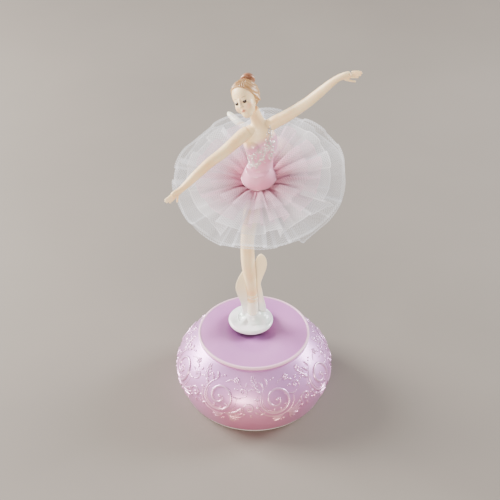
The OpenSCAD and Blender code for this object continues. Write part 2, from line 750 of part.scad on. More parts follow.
module upper_body() {
    color("pink") difference() {
        union() {
            limb(body_rows, [0, 1, 0], 20);
            hull() {
                at_hips() cylinder(r = basque_r, h = 1.2, $fn = 40);
                translate(body_rows[0][0]) cylinder(r = 8.2, h = 1, $fn = 40);
            }
            limb([[[3, 6.4, 190.5], 4.2, 4.6], [[-1.6, 5, 193.4], 4, 4.2], [right_shoulder, 3.3, 3.4]],
                [0, 1, 0]);
            limb([[[4.6, 6.8, 190.5], 4.2, 4.6], [[9, 8, 195], 3.9, 4.1], [left_shoulder, 3, 3.2]],
                [0, 1, 0]);
        }
        at_hips() translate([-30, -30, -60]) cube([60, 60, 60]);
        at_hips() translate([0, 0, -1]) cylinder(r = dowel_r + glue_gap, h = 5.4);
        shoulder_cut(right_shoulder, right_arm_dir) ;
        shoulder_cut(left_shoulder, left_arm_dir);
        translate(neck_top - [20, 20, 0]) cube([40, 40, 60]);
    }
}

right_arm_dir = unit([-20, -12, -12]);
left_arm_dir = unit([22, -1, 16]);

// Frame with its Z along d, at p
module along(p, d) {
    translate(p) rotate([0, acos(d[2]), atan2(d[1], d[0])]) children();
}

// Flat joint face of a shoulder, and the socket for the arm's peg
module shoulder_cut(p, d) {
    along(p, d) {
        cylinder(r = 9, h = 12, $fn = 32);
        translate([0, 0, -3.2]) cylinder(r = peg_r + glue_gap, h = 4, $fn = 24);
    }
}

module arm(rows, p, d) {
    difference() {
        union() {
            limb(rows, [0, 1, 0]);
            along(p, d) translate([0, 0, -3]) cylinder(r = peg_r, h = 4, $fn = 24);
        }
        along(p, d) difference() {
            translate([0, 0, -8]) cylinder(r = 9, h = 8, $fn = 32);
            translate([0, 0, -9]) cylinder(r = peg_r + eps, h = 10, $fn = 24);
        }
    }
}

module right_arm() {
    color("bisque") arm([[right_shoulder, 3.4, 3.5], [right_shoulder + 9 * right_arm_dir, 3.1, 3.2],
        [[-25.6, -9, 182], 2.7, 2.8], [[-32.5, -13.6, 177.5], 2.6, 2.6], [[-39.3, -18.2, 172.4], 2, 2],
        [[-44.4, -21, 169.2], 1.2, 2.6], [[-51.2, -23.8, 165.5], 0.9, 1.6]], right_shoulder, right_arm_dir);
}

module left_arm() {
    color("bisque") arm([[left_shoulder, 3.2, 3.3], [left_shoulder + 9 * left_arm_dir, 3, 3.1],
        [[30.6, 6.6, 213.1], 2.8, 2.8], [[40.5, 5.3, 223.6], 2.4, 2.4], [[47, 4.5, 229.8], 1.9, 1.9],
        [[53, 3.6, 232.4], 1.3, 3.2], [[60.2, 2.2, 235.4], 0.9, 1.5]], left_shoulder, left_arm_dir);
}

skull_at = [-5.3, 7.9, 217.3];
jaw_at = [-4.4, -0.8, 211.6];
hair_at = [-5.4, 5.3, 216.3];
hair_plane = [-79, 0, -11];
bun_at = [-3.6, 16.3, 222];

// Convex head, flat where it meets the neck
module head_form(grow) {
    hull() {
        translate(skull_at) sphere(r = 8.3 + grow, $fn = 28);
        translate(skull_at + [-0.8, -2.4, -0.6]) sphere(r = 7.3 + grow, $fn = 24);
        translate(jaw_at) sphere(r = 3.2 + grow / 2, $fn = 20);
        translate(neck_top) cylinder(r = 3.6, h = 0.5, $fn = 24);
    }
}

// Half space of the hair: above and behind a slanting plane through the skull
module hair_side() {
    translate(hair_at) rotate(hair_plane) translate([-30, -30, 0]) cube([60, 60, 60]);
}

module head() {
    color("bisque") difference() {
        head_form(0);
        hair_side();
    }
}

module hair() {
    color("peru") union() {
        intersection() {
            head_form(0.3);
            hair_side();
        }
        hull() {
            translate(bun_at) sphere(r = 4.2, $fn = 24);
            translate((bun_at + skull_at) / 2) sphere(r = 3.4, $fn = 20);
        }
    }
}

felt_ring();
base_shell();
top_plate();
spindle_bush();
sound_board();
sound_board_screws();
bedplate();
bedplate_screws();
comb_block();
steel_comb();
comb_screws();
cylinder_near_bracket();
cylinder_far_bracket();
governor_frame();
barrel_bridge();
bridge_screws();
clutch_spring();
winding_arbor();
winding_key();
spring_barrel();
mainspring();
barrel_cover();
spindle();
pinned_cylinder();
cylinder_pins();
cylinder_arbor();
cylinder_pinion();
cylinder_wheel();
governor_arbor();
governor_pinion();
governor_worm_wheel();
governor_worm();
air_brake();
turntable();
petal_support();
standing_leg();
raised_leg();
tulle_waistband();
long_tulle_skirt();
middle_tulle_skirt();
pink_tulle_skirt();
upper_body();
right_arm();
left_arm();
head();
hair();
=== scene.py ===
# %% [markdown]
# # A wind-up ballerina music box
# The real object is a hollow base of cast resin with a comb movement inside. Its spindle turns a
# hand-painted resin dancer who wears a skirt of real tulle. The engineering model gives every size
# and every moving body. This lesson builds what the eye sees on top of it, piece by piece.

# %% Load the engineering model
import json
import math
import random

import bmesh
import bpy
import numpy as np
from mathutils import Euler, Matrix, Vector
from mathutils.bvhtree import BVHTree


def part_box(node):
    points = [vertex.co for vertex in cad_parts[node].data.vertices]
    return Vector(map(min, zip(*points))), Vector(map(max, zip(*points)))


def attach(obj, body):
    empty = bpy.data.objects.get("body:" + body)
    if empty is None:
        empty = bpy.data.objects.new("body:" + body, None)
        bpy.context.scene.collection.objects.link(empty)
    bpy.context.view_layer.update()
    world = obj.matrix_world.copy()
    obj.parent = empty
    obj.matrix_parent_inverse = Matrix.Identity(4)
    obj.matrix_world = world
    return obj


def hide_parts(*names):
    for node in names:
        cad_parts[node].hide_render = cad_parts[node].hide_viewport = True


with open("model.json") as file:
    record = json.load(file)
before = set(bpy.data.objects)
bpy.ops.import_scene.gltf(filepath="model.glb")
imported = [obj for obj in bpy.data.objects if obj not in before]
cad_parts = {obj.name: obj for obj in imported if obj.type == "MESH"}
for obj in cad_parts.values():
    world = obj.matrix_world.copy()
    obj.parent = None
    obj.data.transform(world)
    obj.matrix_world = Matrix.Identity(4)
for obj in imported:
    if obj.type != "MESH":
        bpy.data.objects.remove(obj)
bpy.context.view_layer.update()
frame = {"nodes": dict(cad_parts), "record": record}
MM = 0.001
print("nodes in the engineering model:", len(frame["nodes"]))

# %% [markdown]
# ## Two small helpers
# All the shapes below are worked out in millimetres, because that is how a figurine is measured.
# One helper turns lists of points and faces into a smooth-shaded Blender object in metres. The other
# joins a row of rings, all with the same number of points, into a skin.

# %% Turn points in millimetres into an object
def piece_from(name, points, faces):
    mesh = bpy.data.meshes.new(name)
    mesh.from_pydata([tuple(p) for p in np.asarray(points, float) * MM], [], faces)
    mesh.polygons.foreach_set("use_smooth", [True] * len(mesh.polygons))
    mesh.update()
    piece = bpy.data.objects.new(name, mesh)
    bpy.context.collection.objects.link(piece)
    return piece


# %% Join rings into a skin
def ring_faces(rings, count, close_around=True, close_up=False):
    faces = []
    last = rings if close_up else rings - 1
    for j in range(last):
        for i in range(count if close_around else count - 1):
            k, m = (i + 1) % count, (j + 1) % rings
            faces.append((j * count + i, j * count + k, m * count + k, m * count + i))
    return faces


def skin(name, rings, caps=True):
    rings = np.asarray(rings, float)
    n, count = rings.shape[:2]
    points = list(rings.reshape(-1, 3))
    faces = ring_faces(n, count)
    if caps:
        for j, flip in ((0, True), (n - 1, False)):
            points.append(rings[j].mean(axis=0))
            for i in range(count):
                a, b = j * count + i, j * count + (i + 1) % count
                faces.append((b, a, len(points) - 1) if flip else (a, b, len(points) - 1))
    return piece_from(name, points, faces)


# %% [markdown]
# ## Turned forms
# The base, its plate and the turntable are round. On a real one the moulds are turned on a lathe, so
# a profile spun round an axis is the honest way to make them. Each profile is a closed loop of
# radius and height, rounded with small arcs wherever a mould would have a radius.

# %% Spin a profile
def turned(name, profile, centre=(0, 0), segments=160):
    profile = np.asarray(profile, float)
    turn = np.linspace(0, 2 * np.pi, segments, endpoint=False)
    rings = np.stack(
        [
            np.stack([centre[0] + profile[:, 0] * np.cos(t), centre[1] + profile[:, 0] * np.sin(t),
                profile[:, 1]], 1)
            for t in turn
        ]
    )
    faces = []
    count = len(profile)
    for j in range(segments):
        for i in range(count):
            a, b = j * count + i, j * count + (i + 1) % count
            c, d = ((j + 1) % segments) * count + (i + 1) % count, ((j + 1) % segments) * count + i
            faces.append((a, d, c, b))
    return piece_from(name, rings.reshape(-1, 3), faces)


def arc(cx, cz, radius, start, end, steps=8):
    return [
        (cx + radius * math.cos(math.radians(a)), cz + radius * math.sin(math.radians(a)))
        for a in np.linspace(start, end, steps)
    ]


# %% [markdown]
# ## The base
# The outside is two quarter waves that meet at the widest ring: a flared shoulder above, a tucked-in
# foot below. The inside steps out for the sound board and up to the movement's chamber. Both go into
# one profile, so the wall has its real thickness when the box is turned over.

# %% Measure the base and spin its shell
base_low, base_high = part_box("base_shell")
plate_low, plate_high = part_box("top_plate")
board_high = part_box("sound_board")[1]
BASE_R = base_high[0] / MM
FOOT_Z = base_low[2] / MM
NECK_Z = base_high[2] / MM
WIDEST_Z = 19.5
FOOT_R = 45.0
NECK_R = 35.0
RECESS_R = board_high[0] / MM + 0.4
BOARD_TOP = board_high[2] / MM


def base_radius(z):
    z = np.asarray(z, float)
    above = NECK_R + (BASE_R - NECK_R) * np.cos(np.pi / 2 * (z - WIDEST_Z) / (NECK_Z - WIDEST_Z))
    below = FOOT_R + (BASE_R - FOOT_R) * np.cos(np.pi / 2 * (WIDEST_Z - z) / (WIDEST_Z - FOOT_Z))
    return np.where(z > WIDEST_Z, above, below)


heights = np.linspace(FOOT_Z + 1.0, NECK_Z - 0.05, 70)
outside = [(float(base_radius(z)), z) for z in heights]
foot_edge = arc(FOOT_R - 0.9, FOOT_Z + 0.95, 0.95, -90, -8, 6)
inside = [
    (30.0, NECK_Z), (30.0, NECK_Z - 3.2), (35.5, NECK_Z - 3.2), (37.5, BOARD_TOP + 14), (37.5, BOARD_TOP),
    (RECESS_R, BOARD_TOP), (RECESS_R, FOOT_Z + 0.4), (RECESS_R + 0.4, FOOT_Z),
]
base_skin = turned("base_skin", foot_edge + outside + inside, segments=224)
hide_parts("base_shell")
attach(base_skin, "base")
print("base radius at the widest ring:", round(BASE_R, 2), "mm")

# %% Spin the top plate with its raised rim
PLATE_R = plate_high[0] / MM
PLATE_TOP = plate_high[2] / MM
PLATE_LOW = plate_low[2] / MM
spindle_low, spindle_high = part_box("spindle")
AXIS = ((spindle_low[0] + spindle_high[0]) / 2 / MM, (spindle_low[1] + spindle_high[1]) / 2 / MM)
plate_profile = (
    [(1.0, PLATE_LOW), (29.8, PLATE_LOW), (29.8, NECK_Z + 0.02), (NECK_R - 0.7, NECK_Z + 0.02),
        (NECK_R - 0.6, NECK_Z + 0.9)]
    + arc(PLATE_R - 0.95, PLATE_TOP - 1.35, 0.95, -60, 20, 6)
    + arc(PLATE_R - 0.75, PLATE_TOP - 0.72, 0.72, 0, 150, 9)
    + [(PLATE_R - 2.1, PLATE_TOP - 0.28), (PLATE_R - 3.4, PLATE_TOP - 0.3), (1.0, PLATE_TOP - 0.3)]
)
plate_skin = turned("plate_skin", plate_profile, segments=192)
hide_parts("top_plate")
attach(plate_skin, "base")

# %% [markdown]
# ## Raised scrollwork
# A band of acanthus scrolls stands out of the shoulder. In the mould it is carved, so here it is real
# geometry: each stroke is a line drawn on the unrolled surface, bent back onto the base, with a
# rounded section that swells in the middle and tapers at its ends. One unit repeats eight times.

# %% Lay flat coordinates over the shoulder
surface_z = np.linspace(FOOT_Z + 0.5, NECK_Z - 0.2, 400)
surface_r = base_radius(surface_z)
surface_s = np.concatenate([[0], np.cumsum(np.hypot(np.diff(surface_r), np.diff(surface_z)))])
surface_s -= np.interp(28.5, surface_z, surface_s)
UNITS = 8
FIRST_ANGLE = math.radians(-72.5)


def on_shoulder(u, v, lift, turn):
    z = np.interp(v, surface_s, surface_z)
    r = np.interp(z, surface_z, surface_r)
    dr = np.interp(v + 0.05, surface_s, surface_r) - np.interp(v - 0.05, surface_s, surface_r)
    dz = np.interp(v + 0.05, surface_s, surface_z) - np.interp(v - 0.05, surface_s, surface_z)
    size = np.hypot(dr, dz)
    out, up = dz / size, -dr / size
    phi = turn + u / 46.5
    radius = r + lift * out
    return np.stack([radius * np.cos(phi), radius * np.sin(phi), z + lift * up], -1)


# %% Draw the strokes of one unit
def curl(cu, cv, start, sweep, r_from, r_to, width, power=0.85, steps=56):
    t = np.linspace(0, 1, steps)
    a = np.radians(start + sweep * t)
    r = r_from + (r_to - r_from) * t**power
    return np.stack([cu + r * np.cos(a), cv + r * np.sin(a)], 1), width


def sweep_line(points, width, steps=22):
    p = [np.array(q, float) for q in points]
    t = np.linspace(0, 1, steps)[:, None]
    if len(p) == 3:
        return (1 - t) ** 2 * p[0] + 2 * t * (1 - t) * p[1] + t**2 * p[2], width
    return (1 - t) ** 3 * p[0] + 3 * t * (1 - t) ** 2 * p[1] + 3 * t**2 * (1 - t) * p[2] + t**3 * p[3], width


def comma(u, v, angle, length, bend, width=0.95):
    """A leaf-like stroke that leaves (u, v) at an angle and bends as it goes"""
    a, b = math.radians(angle), math.radians(angle + bend)
    mid = (u + 0.55 * length * math.cos(a), v + 0.55 * length * math.sin(a))
    return sweep_line([(u, v), mid,
        (mid[0] + 0.5 * length * math.cos(b), mid[1] + 0.5 * length * math.sin(b))], width, 14)


def leaves_round(cu, cv, radius, leaves, lean, bend, width):
    """Leaves that spring from a circle: each is its place in degrees and its length"""
    found = []
    for a, length in leaves:
        c, s = math.cos(math.radians(a)), math.sin(math.radians(a))
        found.append(comma(cu + radius * c, cv + radius * s, a + lean, length, bend, width))
    return found


strokes = [
    curl(0, 0, 118, 660, 10.8, 1.2, 1.25, 1.2, steps=72),
    curl(0.1, 0.1, 150, 250, 9.3, 7.4, 0.6),
    curl(-0.3, -0.2, 150, 220, 12.2, 11.6, 0.6, steps=40),
]
outer_leaves = ((118, 5.4), (136, 6.2), (156, 4.6), (178, 3.8), (202, 3.6), (226, 4.2))
inner_leaves = ((20, 2.8), (320, 3.0), (285, 2.8), (250, 2.6))
strokes += leaves_round(0, 0, 11.0, outer_leaves, -38, 62, 1.15)
strokes += leaves_round(0, 0, 8.3, inner_leaves, 150, 70, 0.8)
for k, (length, angle) in enumerate(((11.5, 12), (10.2, -4), (8.6, -22), (7.2, -42), (6.4, -66), (6.0, -92))):
    strokes.append(comma(5.4 + 0.5 * k, -10.6 - 0.4 * k, angle, length, 44, 1.2 - 0.06 * k))
for k, (length, angle) in enumerate(((7.5, 196), (6.6, 214), (5.8, 238))):
    strokes.append(comma(3.4 - 0.6 * k, -12.4 - 0.5 * k, angle, length, -46, 1.05))
strokes.append(curl(19.4, -5.0, 235, -430, 4.3, 0.8, 0.95, steps=40))
strokes += leaves_round(19.4, -5.0, 4.4, [(a, 2.8) for a in (200, 240, 285, 330)], -30, 60, 0.8)
strokes.append(curl(15.0, 5.4, 250, 400, 3.6, 0.7, 0.8, steps=36))
strokes.append(sweep_line([(8.6, 2.0), (12.6, 0.2), (14.2, 1.9)], 0.8))
strokes += leaves_round(15.0, 5.4, 3.6, [(a, 2.9) for a in (20, 70, 120, 165)], -20, 60, 0.8)
strokes.append(sweep_line([(2.0, 9.6), (5.6, 13.4), (9.2, 11.4)], 0.7))
strokes.append(sweep_line([(-9.4, 6.2), (-14.6, 8.2), (-15.4, 13.6)], 0.9))
for k in range(4):
    strokes.append(comma(-13.0 - 0.7 * k, 7.9 + 1.7 * k, 205 - 24 * k, 3.4, -54, 0.85))
    strokes.append(comma(-12.4 - 0.8 * k, 8.6 + 1.7 * k, 50 + 6 * k, 2.8, 50, 0.75))
petal_angles = np.radians([90, 162, 234, 306, 18])
beads = [(9.6 + 1.35 * math.cos(a), 12.2 + 1.35 * math.sin(a), 0.9) for a in petal_angles]
beads += [(9.6, 12.2, 0.8), (0.2, 0.1, 1.15), (3.8, -15.4, 0.9), (1.6, -14.2, 0.75), (2.4, -16.6, 0.7)]
beads += [(19.4, -5.0, 0.8), (15.0, 5.4, 0.75), (-15.6, 14.6, 0.6), (-2.2, 12.6, 0.6), (0.0, 13.6, 0.7),
    (22.0, 9.4, 0.6)]
print("strokes in one unit of scrollwork:", len(strokes), "and beads:", len(beads))

# %% Raise the strokes off the surface, all the way round
SECTION = np.linspace(-1, 1, 7)
relief_points, relief_faces = [], []
for unit in range(UNITS):
    turn = FIRST_ANGLE + 2 * math.pi * unit / UNITS
    for line, width in strokes:
        steps = len(line)
        along = np.gradient(line, axis=0)
        along /= np.maximum(np.linalg.norm(along, axis=1), 1e-6)[:, None]
        side = np.stack([-along[:, 1], along[:, 0]], 1)
        taper = np.sin(np.pi * np.clip(np.linspace(0.03, 0.985, steps), 0, 1)) ** 0.45
        first = len(relief_points)
        for i in range(steps):
            half = 0.7 * width * taper[i]
            across = line[i] + side[i] * half * SECTION[:, None]
            lift = 0.8 * width * taper[i] * np.sqrt(np.maximum(0, 1 - SECTION**2)) - 0.06
            relief_points.extend(on_shoulder(across[:, 0], across[:, 1], lift, turn))
        relief_faces += [
            tuple(first + n for n in face) for face in ring_faces(steps, len(SECTION), close_around=False)
        ]
    for u, v, radius in beads:
        first = len(relief_points)
        for j in range(6):
            tilt = j / 5 * math.pi / 2
            ring = np.linspace(0, 2 * np.pi, 12, endpoint=False)
            flat = radius * math.cos(tilt) + 0.01
            relief_points.extend(
                on_shoulder(u + flat * np.cos(ring), v + flat * np.sin(ring),
                    radius * 0.85 * math.sin(tilt) - 0.05, turn)
            )
        relief_faces += [tuple(first + n for n in face) for face in ring_faces(6, 12)]
scrollwork = piece_from("scrollwork", relief_points, relief_faces)
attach(scrollwork, "base")
print("scrollwork faces:", len(relief_faces))

# %% [markdown]
# ## The turntable and its petals
# The pearl disc under the dancer is cast with a soft mound in the middle, like folds of cloth or
# sepals, and two petals that hold the thin ankle. The disc is turned, then its top is pushed into
# shallow waves. The petals are flattened lofts, melted into their collar with a voxel remesh.

# %% Turn the disc and ripple its mound
table_low, table_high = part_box("turntable")
TABLE_Z = table_low[2] / MM
TABLE_R = (table_high[0] - table_low[0]) / 2 / MM
SPINDLE_HOLE_R = 1.4


def mound_height(r):
    """Height of the disc's top: a slight dome with a mound in its middle"""
    return TABLE_Z + 3.0 + 0.55 * (1 - r / (TABLE_R - 1.5)) + 3.4 * math.exp(-((r / 5.4) ** 2.4))


disc_profile = (
    [(SPINDLE_HOLE_R, TABLE_Z), (TABLE_R - 1.5, TABLE_Z)]
    + arc(TABLE_R - 1.5, TABLE_Z + 1.5, 1.5, -80, 85, 12)
    + [(r, mound_height(r)) for r in np.linspace(TABLE_R - 2, SPINDLE_HOLE_R, 26)]
)
disc_skin = turned("disc_skin", disc_profile, centre=AXIS, segments=144)
for vertex in disc_skin.data.vertices:
    x, y, z = vertex.co / MM
    dx, dy = x - AXIS[0], y - AXIS[1]
    r, a = math.hypot(dx, dy), math.atan2(dy, dx)
    if z > TABLE_Z + 3.05:
        swell = math.exp(-(((r - 6.8) / 3.2) ** 2))
        vertex.co.z += MM * swell * (0.5 * math.sin(5 * a + 0.6) + 0.32 * math.sin(9 * a + 2.1 + 0.2 * r))
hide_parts("turntable")
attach(disc_skin, "dancer")


# %% Loft a limb through a few sections
def smooth_rows(rows, steps):
    rows = np.asarray(rows, float)
    padded = np.vstack([2 * rows[0] - rows[1], rows, 2 * rows[-1] - rows[-2]])
    out = []
    for i in range(1, len(padded) - 2):
        p0, p1, p2, p3 = padded[i - 1 : i + 3]
        for t in np.linspace(0, 1, steps, endpoint=False):
            bend, twist = 2 * p0 - 5 * p1 + 4 * p2 - p3, 3 * p1 - p0 - 3 * p2 + p3
            out.append(0.5 * (2 * p1 + (p2 - p0) * t + bend * t**2 + twist * t**3))
    out.append(rows[-1])
    return np.array(out)


def limb(name, rows, side=(0, 1, 0), steps=5, count=24, cup=0.0):
    """rows are (x, y, z, half width, half depth); side is the direction that the depth points to"""
    path = smooth_rows(rows, steps)
    tangent = np.gradient(path[:, :3], axis=0)
    tangent /= np.linalg.norm(tangent, axis=1)[:, None]
    depth = np.array(side, float)
    a = np.linspace(0, 2 * np.pi, count, endpoint=False)
    rings = []
    for row, t in zip(path, tangent):
        wide = np.cross(depth, t)
        wide /= np.linalg.norm(wide)
        deep = np.cross(t, wide)
        bend = cup * np.cos(a) ** 2 * abs(row[3])
        sideways = wide * (abs(row[3]) * np.cos(a))[:, None]
        rings.append(row[:3] + sideways + deep * (abs(row[4]) * np.sin(a) - bend)[:, None])
    return skin(name, rings)


# %% Melt overlapping forms into one casting
def melted(name, parts, voxel=0.35, smooth=6, factor=0.5):
    bm = bmesh.new()
    for part in parts:
        bm.from_mesh(part.data)
        mesh = part.data
        bpy.data.objects.remove(part)
        bpy.data.meshes.remove(mesh)
    joined = bpy.data.meshes.new(name)
    bm.to_mesh(joined)
    bm.free()
    piece = bpy.data.objects.new(name, joined)
    bpy.context.collection.objects.link(piece)
    remesh = piece.modifiers.new("melt", "REMESH")
    remesh.mode = "VOXEL"
    remesh.voxel_size = voxel * MM
    relax = piece.modifiers.new("relax", "SMOOTH")
    relax.factor = factor
    relax.iterations = smooth
    baked = bpy.data.meshes.new_from_object(piece.evaluated_get(bpy.context.evaluated_depsgraph_get()))
    piece.modifiers.clear()
    piece.data = baked
    bpy.data.meshes.remove(joined)
    baked.polygons.foreach_set("use_smooth", [True] * len(baked.polygons))
    return piece


def ball(name, centre, radii, turn=(0, 0, 0)):
    bm = bmesh.new()
    bmesh.ops.create_icosphere(bm, subdivisions=4, radius=1)
    radii = (radii,) * 3 if isinstance(radii, (int, float)) else radii
    rotation = Euler([math.radians(t) for t in turn]).to_matrix().to_4x4()
    pose = Matrix.Translation(Vector(centre) * MM) @ rotation
    pose = pose @ Matrix.Diagonal((*[r * MM for r in radii], 1))
    bmesh.ops.transform(bm, matrix=pose, verts=bm.verts)
    mesh = bpy.data.meshes.new(name)
    bm.to_mesh(mesh)
    bm.free()
    piece = bpy.data.objects.new(name, mesh)
    bpy.context.collection.objects.link(piece)
    return piece


# %% Raise the petals
tall_petal = [
    (2.2, 9.2, 52.4, 5.6, 3.2), (2.6, 9.4, 54.6, 5.3, 2.4), (3.0, 9.3, 60, 4.7, 1.6), (3.2, 9, 66, 3.1, 1.4),
    (3.1, 9, 72, 2.2, 1.1),
    (2.9, 9, 78, 1.5, 0.9), (3.4, 9.2, 84, 2.5, 0.8), (4.2, 9.3, 91, 3.8, 0.75), (4.4, 9.3, 96, 3.7, 0.75),
    (4.3, 9.2, 99.6, 2.4, 0.7),
    (4.2, 9.1, 101.2, 0.7, 0.4),
]
broad_petal = [
    (-2.4, 8.2, 52.4, 5.2, 3.2), (-2.6, 8.3, 54.6, 5.1, 2.6), (-3.0, 8.0, 60, 4.8, 1.8),
    (-4.4, 6.9, 66, 4.4, 1.6), (-5.9, 6.8, 72, 4.9, 1.2),
    (-6.6, 6.8, 77, 5.2, 1.0), (-6.2, 7.0, 82, 4.5, 0.9), (-5.6, 7.1, 87, 3.0, 0.8),
    (-5.2, 7.2, 91.4, 0.8, 0.5),
]
mound_rows = [
    (0.2, 6.8, 51.4, 11.2, 9.4), (0.2, 6.7, 52.1, 9.6, 8.2), (0.0, 6.6, 53.2, 7.6, 6.5),
    (-0.4, 6.4, 54.8, 5.6, 4.8), (-0.7, 6.2, 56.6, 4.0, 3.7),
]
folds = []
for k, (angle, height) in enumerate(((38, 61), (142, 59))):
    c, s = math.cos(math.radians(angle)), math.sin(math.radians(angle))
    folds.append(
        limb(
            f"fold_{k}",
            [(8.6 * c, 6.6 + 7.6 * s, 51.9, 1.8, 0.5), (-0.2 + 6.4 * c, 6.6 + 5.8 * s, 53.9, 1.7, 0.9),
             (-0.4 + 4.8 * c, 6.4 + 4.4 * s, height, 1.3, 0.8),
             (-0.6 + 3.9 * c, 6.4 + 3.7 * s, height + 4, 0.7, 0.5)],
            side=(c, s, 0.4),
        )
    )
petal_casting = melted(
    "petal_casting",
    [limb("tall", tall_petal, cup=0.28), limb("broad", broad_petal, cup=0.2),
        limb("mound", mound_rows, count=48)] + folds,
    voxel=0.3,
    smooth=9,
)
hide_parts("petal_support")
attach(petal_casting, "dancer")
print("petal casting faces:", len(petal_casting.data.polygons))

# %% [markdown]
# ## The legs
# A pointe leg is a long run of sections: blocked toe, high arch, narrow ankle, full calf, knee and
# thigh. Sections are lofted, then melted with the pelvis so nothing shows a seam. The slipper's
# ribbons are separate thin bands, because on the real casting they stand out as raised lines.

# %% Loft the standing leg and the pelvis
standing_rows = [
    (-0.9, 5.8, 54.6, 1.7, 1.9), (-0.9, 5.8, 55.6, 2.6, 2.8), (-0.9, 5.7, 58.5, 3.47, 3.7),
    (-0.95, 5.9, 62, 3.58, 3.81),
    (-1.0, 6.1, 66, 3.36, 3.47), (-1.1, 6.3, 70, 3.25, 3.36), (-1.6, 6.4, 75, 3.32, 3.42),
    (-2.3, 6.7, 82, 3.75, 3.96),
    (-3.1, 6.9, 90, 4.23, 4.49), (-3.8, 6.6, 98, 4.33, 4.49), (-4.1, 6.0, 106, 4.23, 4.17),
    (-4.2, 5.5, 113, 4.17, 4.17),
    (-3.7, 5.5, 120, 4.39, 4.49), (-2.7, 5.8, 128, 4.82, 5.03), (-1.3, 6.2, 137, 5, 5.4),
    (0.3, 6.8, 146, 5.9, 6.3),
    (2.0, 7.6, 153, 6.6, 6.2), (2.8, 7.6, 158, 6.6, 6.2), (2.9, 7.3, 160.4, 5.6, 5.6),
]
raised_rows = [
    (3.0, 8.6, 152.4, 5.4, 5.0), (4.2, 14.5, 150.8, 5.3, 5.0), (8.6, 25, 151.8, 4.9, 4.8),
    (15, 36.4, 153.2, 4.3, 4.2),
    (19.4, 44.4, 154.2, 3.6, 3.7), (18.2, 50, 155, 3.5, 3.6), (11.5, 55.5, 155.6, 3.7, 3.6),
    (3.4, 61, 156.2, 3.4, 3.3),
    (-4, 66.8, 156.9, 2.5, 2.5), (-7.4, 69.8, 157.2, 2.2, 2.2), (-10.4, 73.2, 157.6, 2.4, 2.4),
    (-13.4, 77.6, 158, 2.3, 2.0),
    (-15.6, 81, 158.3, 1.8, 1.5), (-16.6, 82.6, 158.5, 0.9, 0.8),
]
leg_casting = melted("leg_casting",
    [limb("leg", standing_rows), ball("hip", (2.9, 8.6, 153.4), (6.6, 6.0, 5.4))], smooth=8)
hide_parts("standing_leg")
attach(leg_casting, "dancer")
raised_casting = melted("raised_casting", [limb("raised", raised_rows, side=(0, 0, 1))], smooth=8)
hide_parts("raised_leg")
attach(raised_casting, "dancer")


# %% Wind the slipper ribbons
def band(name, centres, across, half_width, thick):
    """A flat ribbon: centres are points on its middle line, across is its width direction at each"""
    rings = []
    for i, p in enumerate(centres):
        t = centres[min(i + 1, len(centres) - 1)] - centres[max(i - 1, 0)]
        t = t / np.linalg.norm(t)
        w = across[i] / np.linalg.norm(across[i])
        n = np.cross(t, w)
        edge, shoulder, face = w * half_width, w * half_width * 0.7, n * thick
        rings.append([p - edge, p - shoulder + face, p + shoulder + face,
            p + edge, p + shoulder - face, p - shoulder - face])
    return skin(name, rings)


def around_limb(casting, centre, axis, count, lean, radius=12):
    """Points where rays towards a limb's middle line meet its skin, once round and leaning"""
    tree = BVHTree.FromObject(casting, bpy.context.evaluated_depsgraph_get())
    axis = Vector(axis).normalized()
    first = axis.orthogonal().normalized()
    second = axis.cross(first)
    found = []
    for i in range(count):
        a = 2 * math.pi * i / (count - 1)
        middle = Vector(centre) + axis * (lean * math.cos(a))
        start = middle + (first * math.cos(a) + second * math.sin(a)) * radius
        hit, normal, _, _ = tree.ray_cast(start * MM, (middle - start).normalized())
        if hit is not None:
            found.append(np.array(hit / MM + normal * 0.1))
    return found, np.array(axis)


ribbons = []
for k, (z, lean) in enumerate(((67.2, 1.1), (69.0, -1.1), (71.6, 0.2))):
    line, axis = around_limb(leg_casting, (-1.1, 6.3, z), (0, 0, 1), 49, lean)
    ribbons.append(band(f"ribbon_{k}", line, [axis] * len(line), 0.42, 0.13))
for k, (c, lean) in enumerate((((-6.4, 69, 157.1), 0.9), ((-5.2, 67.8, 157), -0.9))):
    line, axis = around_limb(raised_casting, c, (6, -5.6, -0.6), 49, lean)
    ribbons.append(band(f"ribbon_raised_{k}", line, [axis] * len(line), 0.42, 0.13))
for ribbon in ribbons:
    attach(ribbon, "dancer")

# %% [markdown]
# ## Torso, arms and hands
# The torso leans and the hips tilt, so the basque is lofted in the hips' own tilted frame and the
# chest in an upright one, and both melt together. Each arm is one casting down to the fingertips.

# %% The hips' tilted frame
HIP = Vector((2.8, 7.0, 160.0))
HIP_TURN = Euler((math.radians(17), math.radians(-4), 0)).to_matrix()


def from_hips(points):
    turn = np.array(HIP_TURN)
    return np.asarray(points, float) @ turn.T + np.array(HIP)


def hip_ring(radius, height, count=48, squash=0.94):
    a = np.linspace(0, 2 * np.pi, count, endpoint=False)
    return from_hips(np.stack([radius * np.cos(a), squash * radius * np.sin(a), np.full(count, height)], 1))


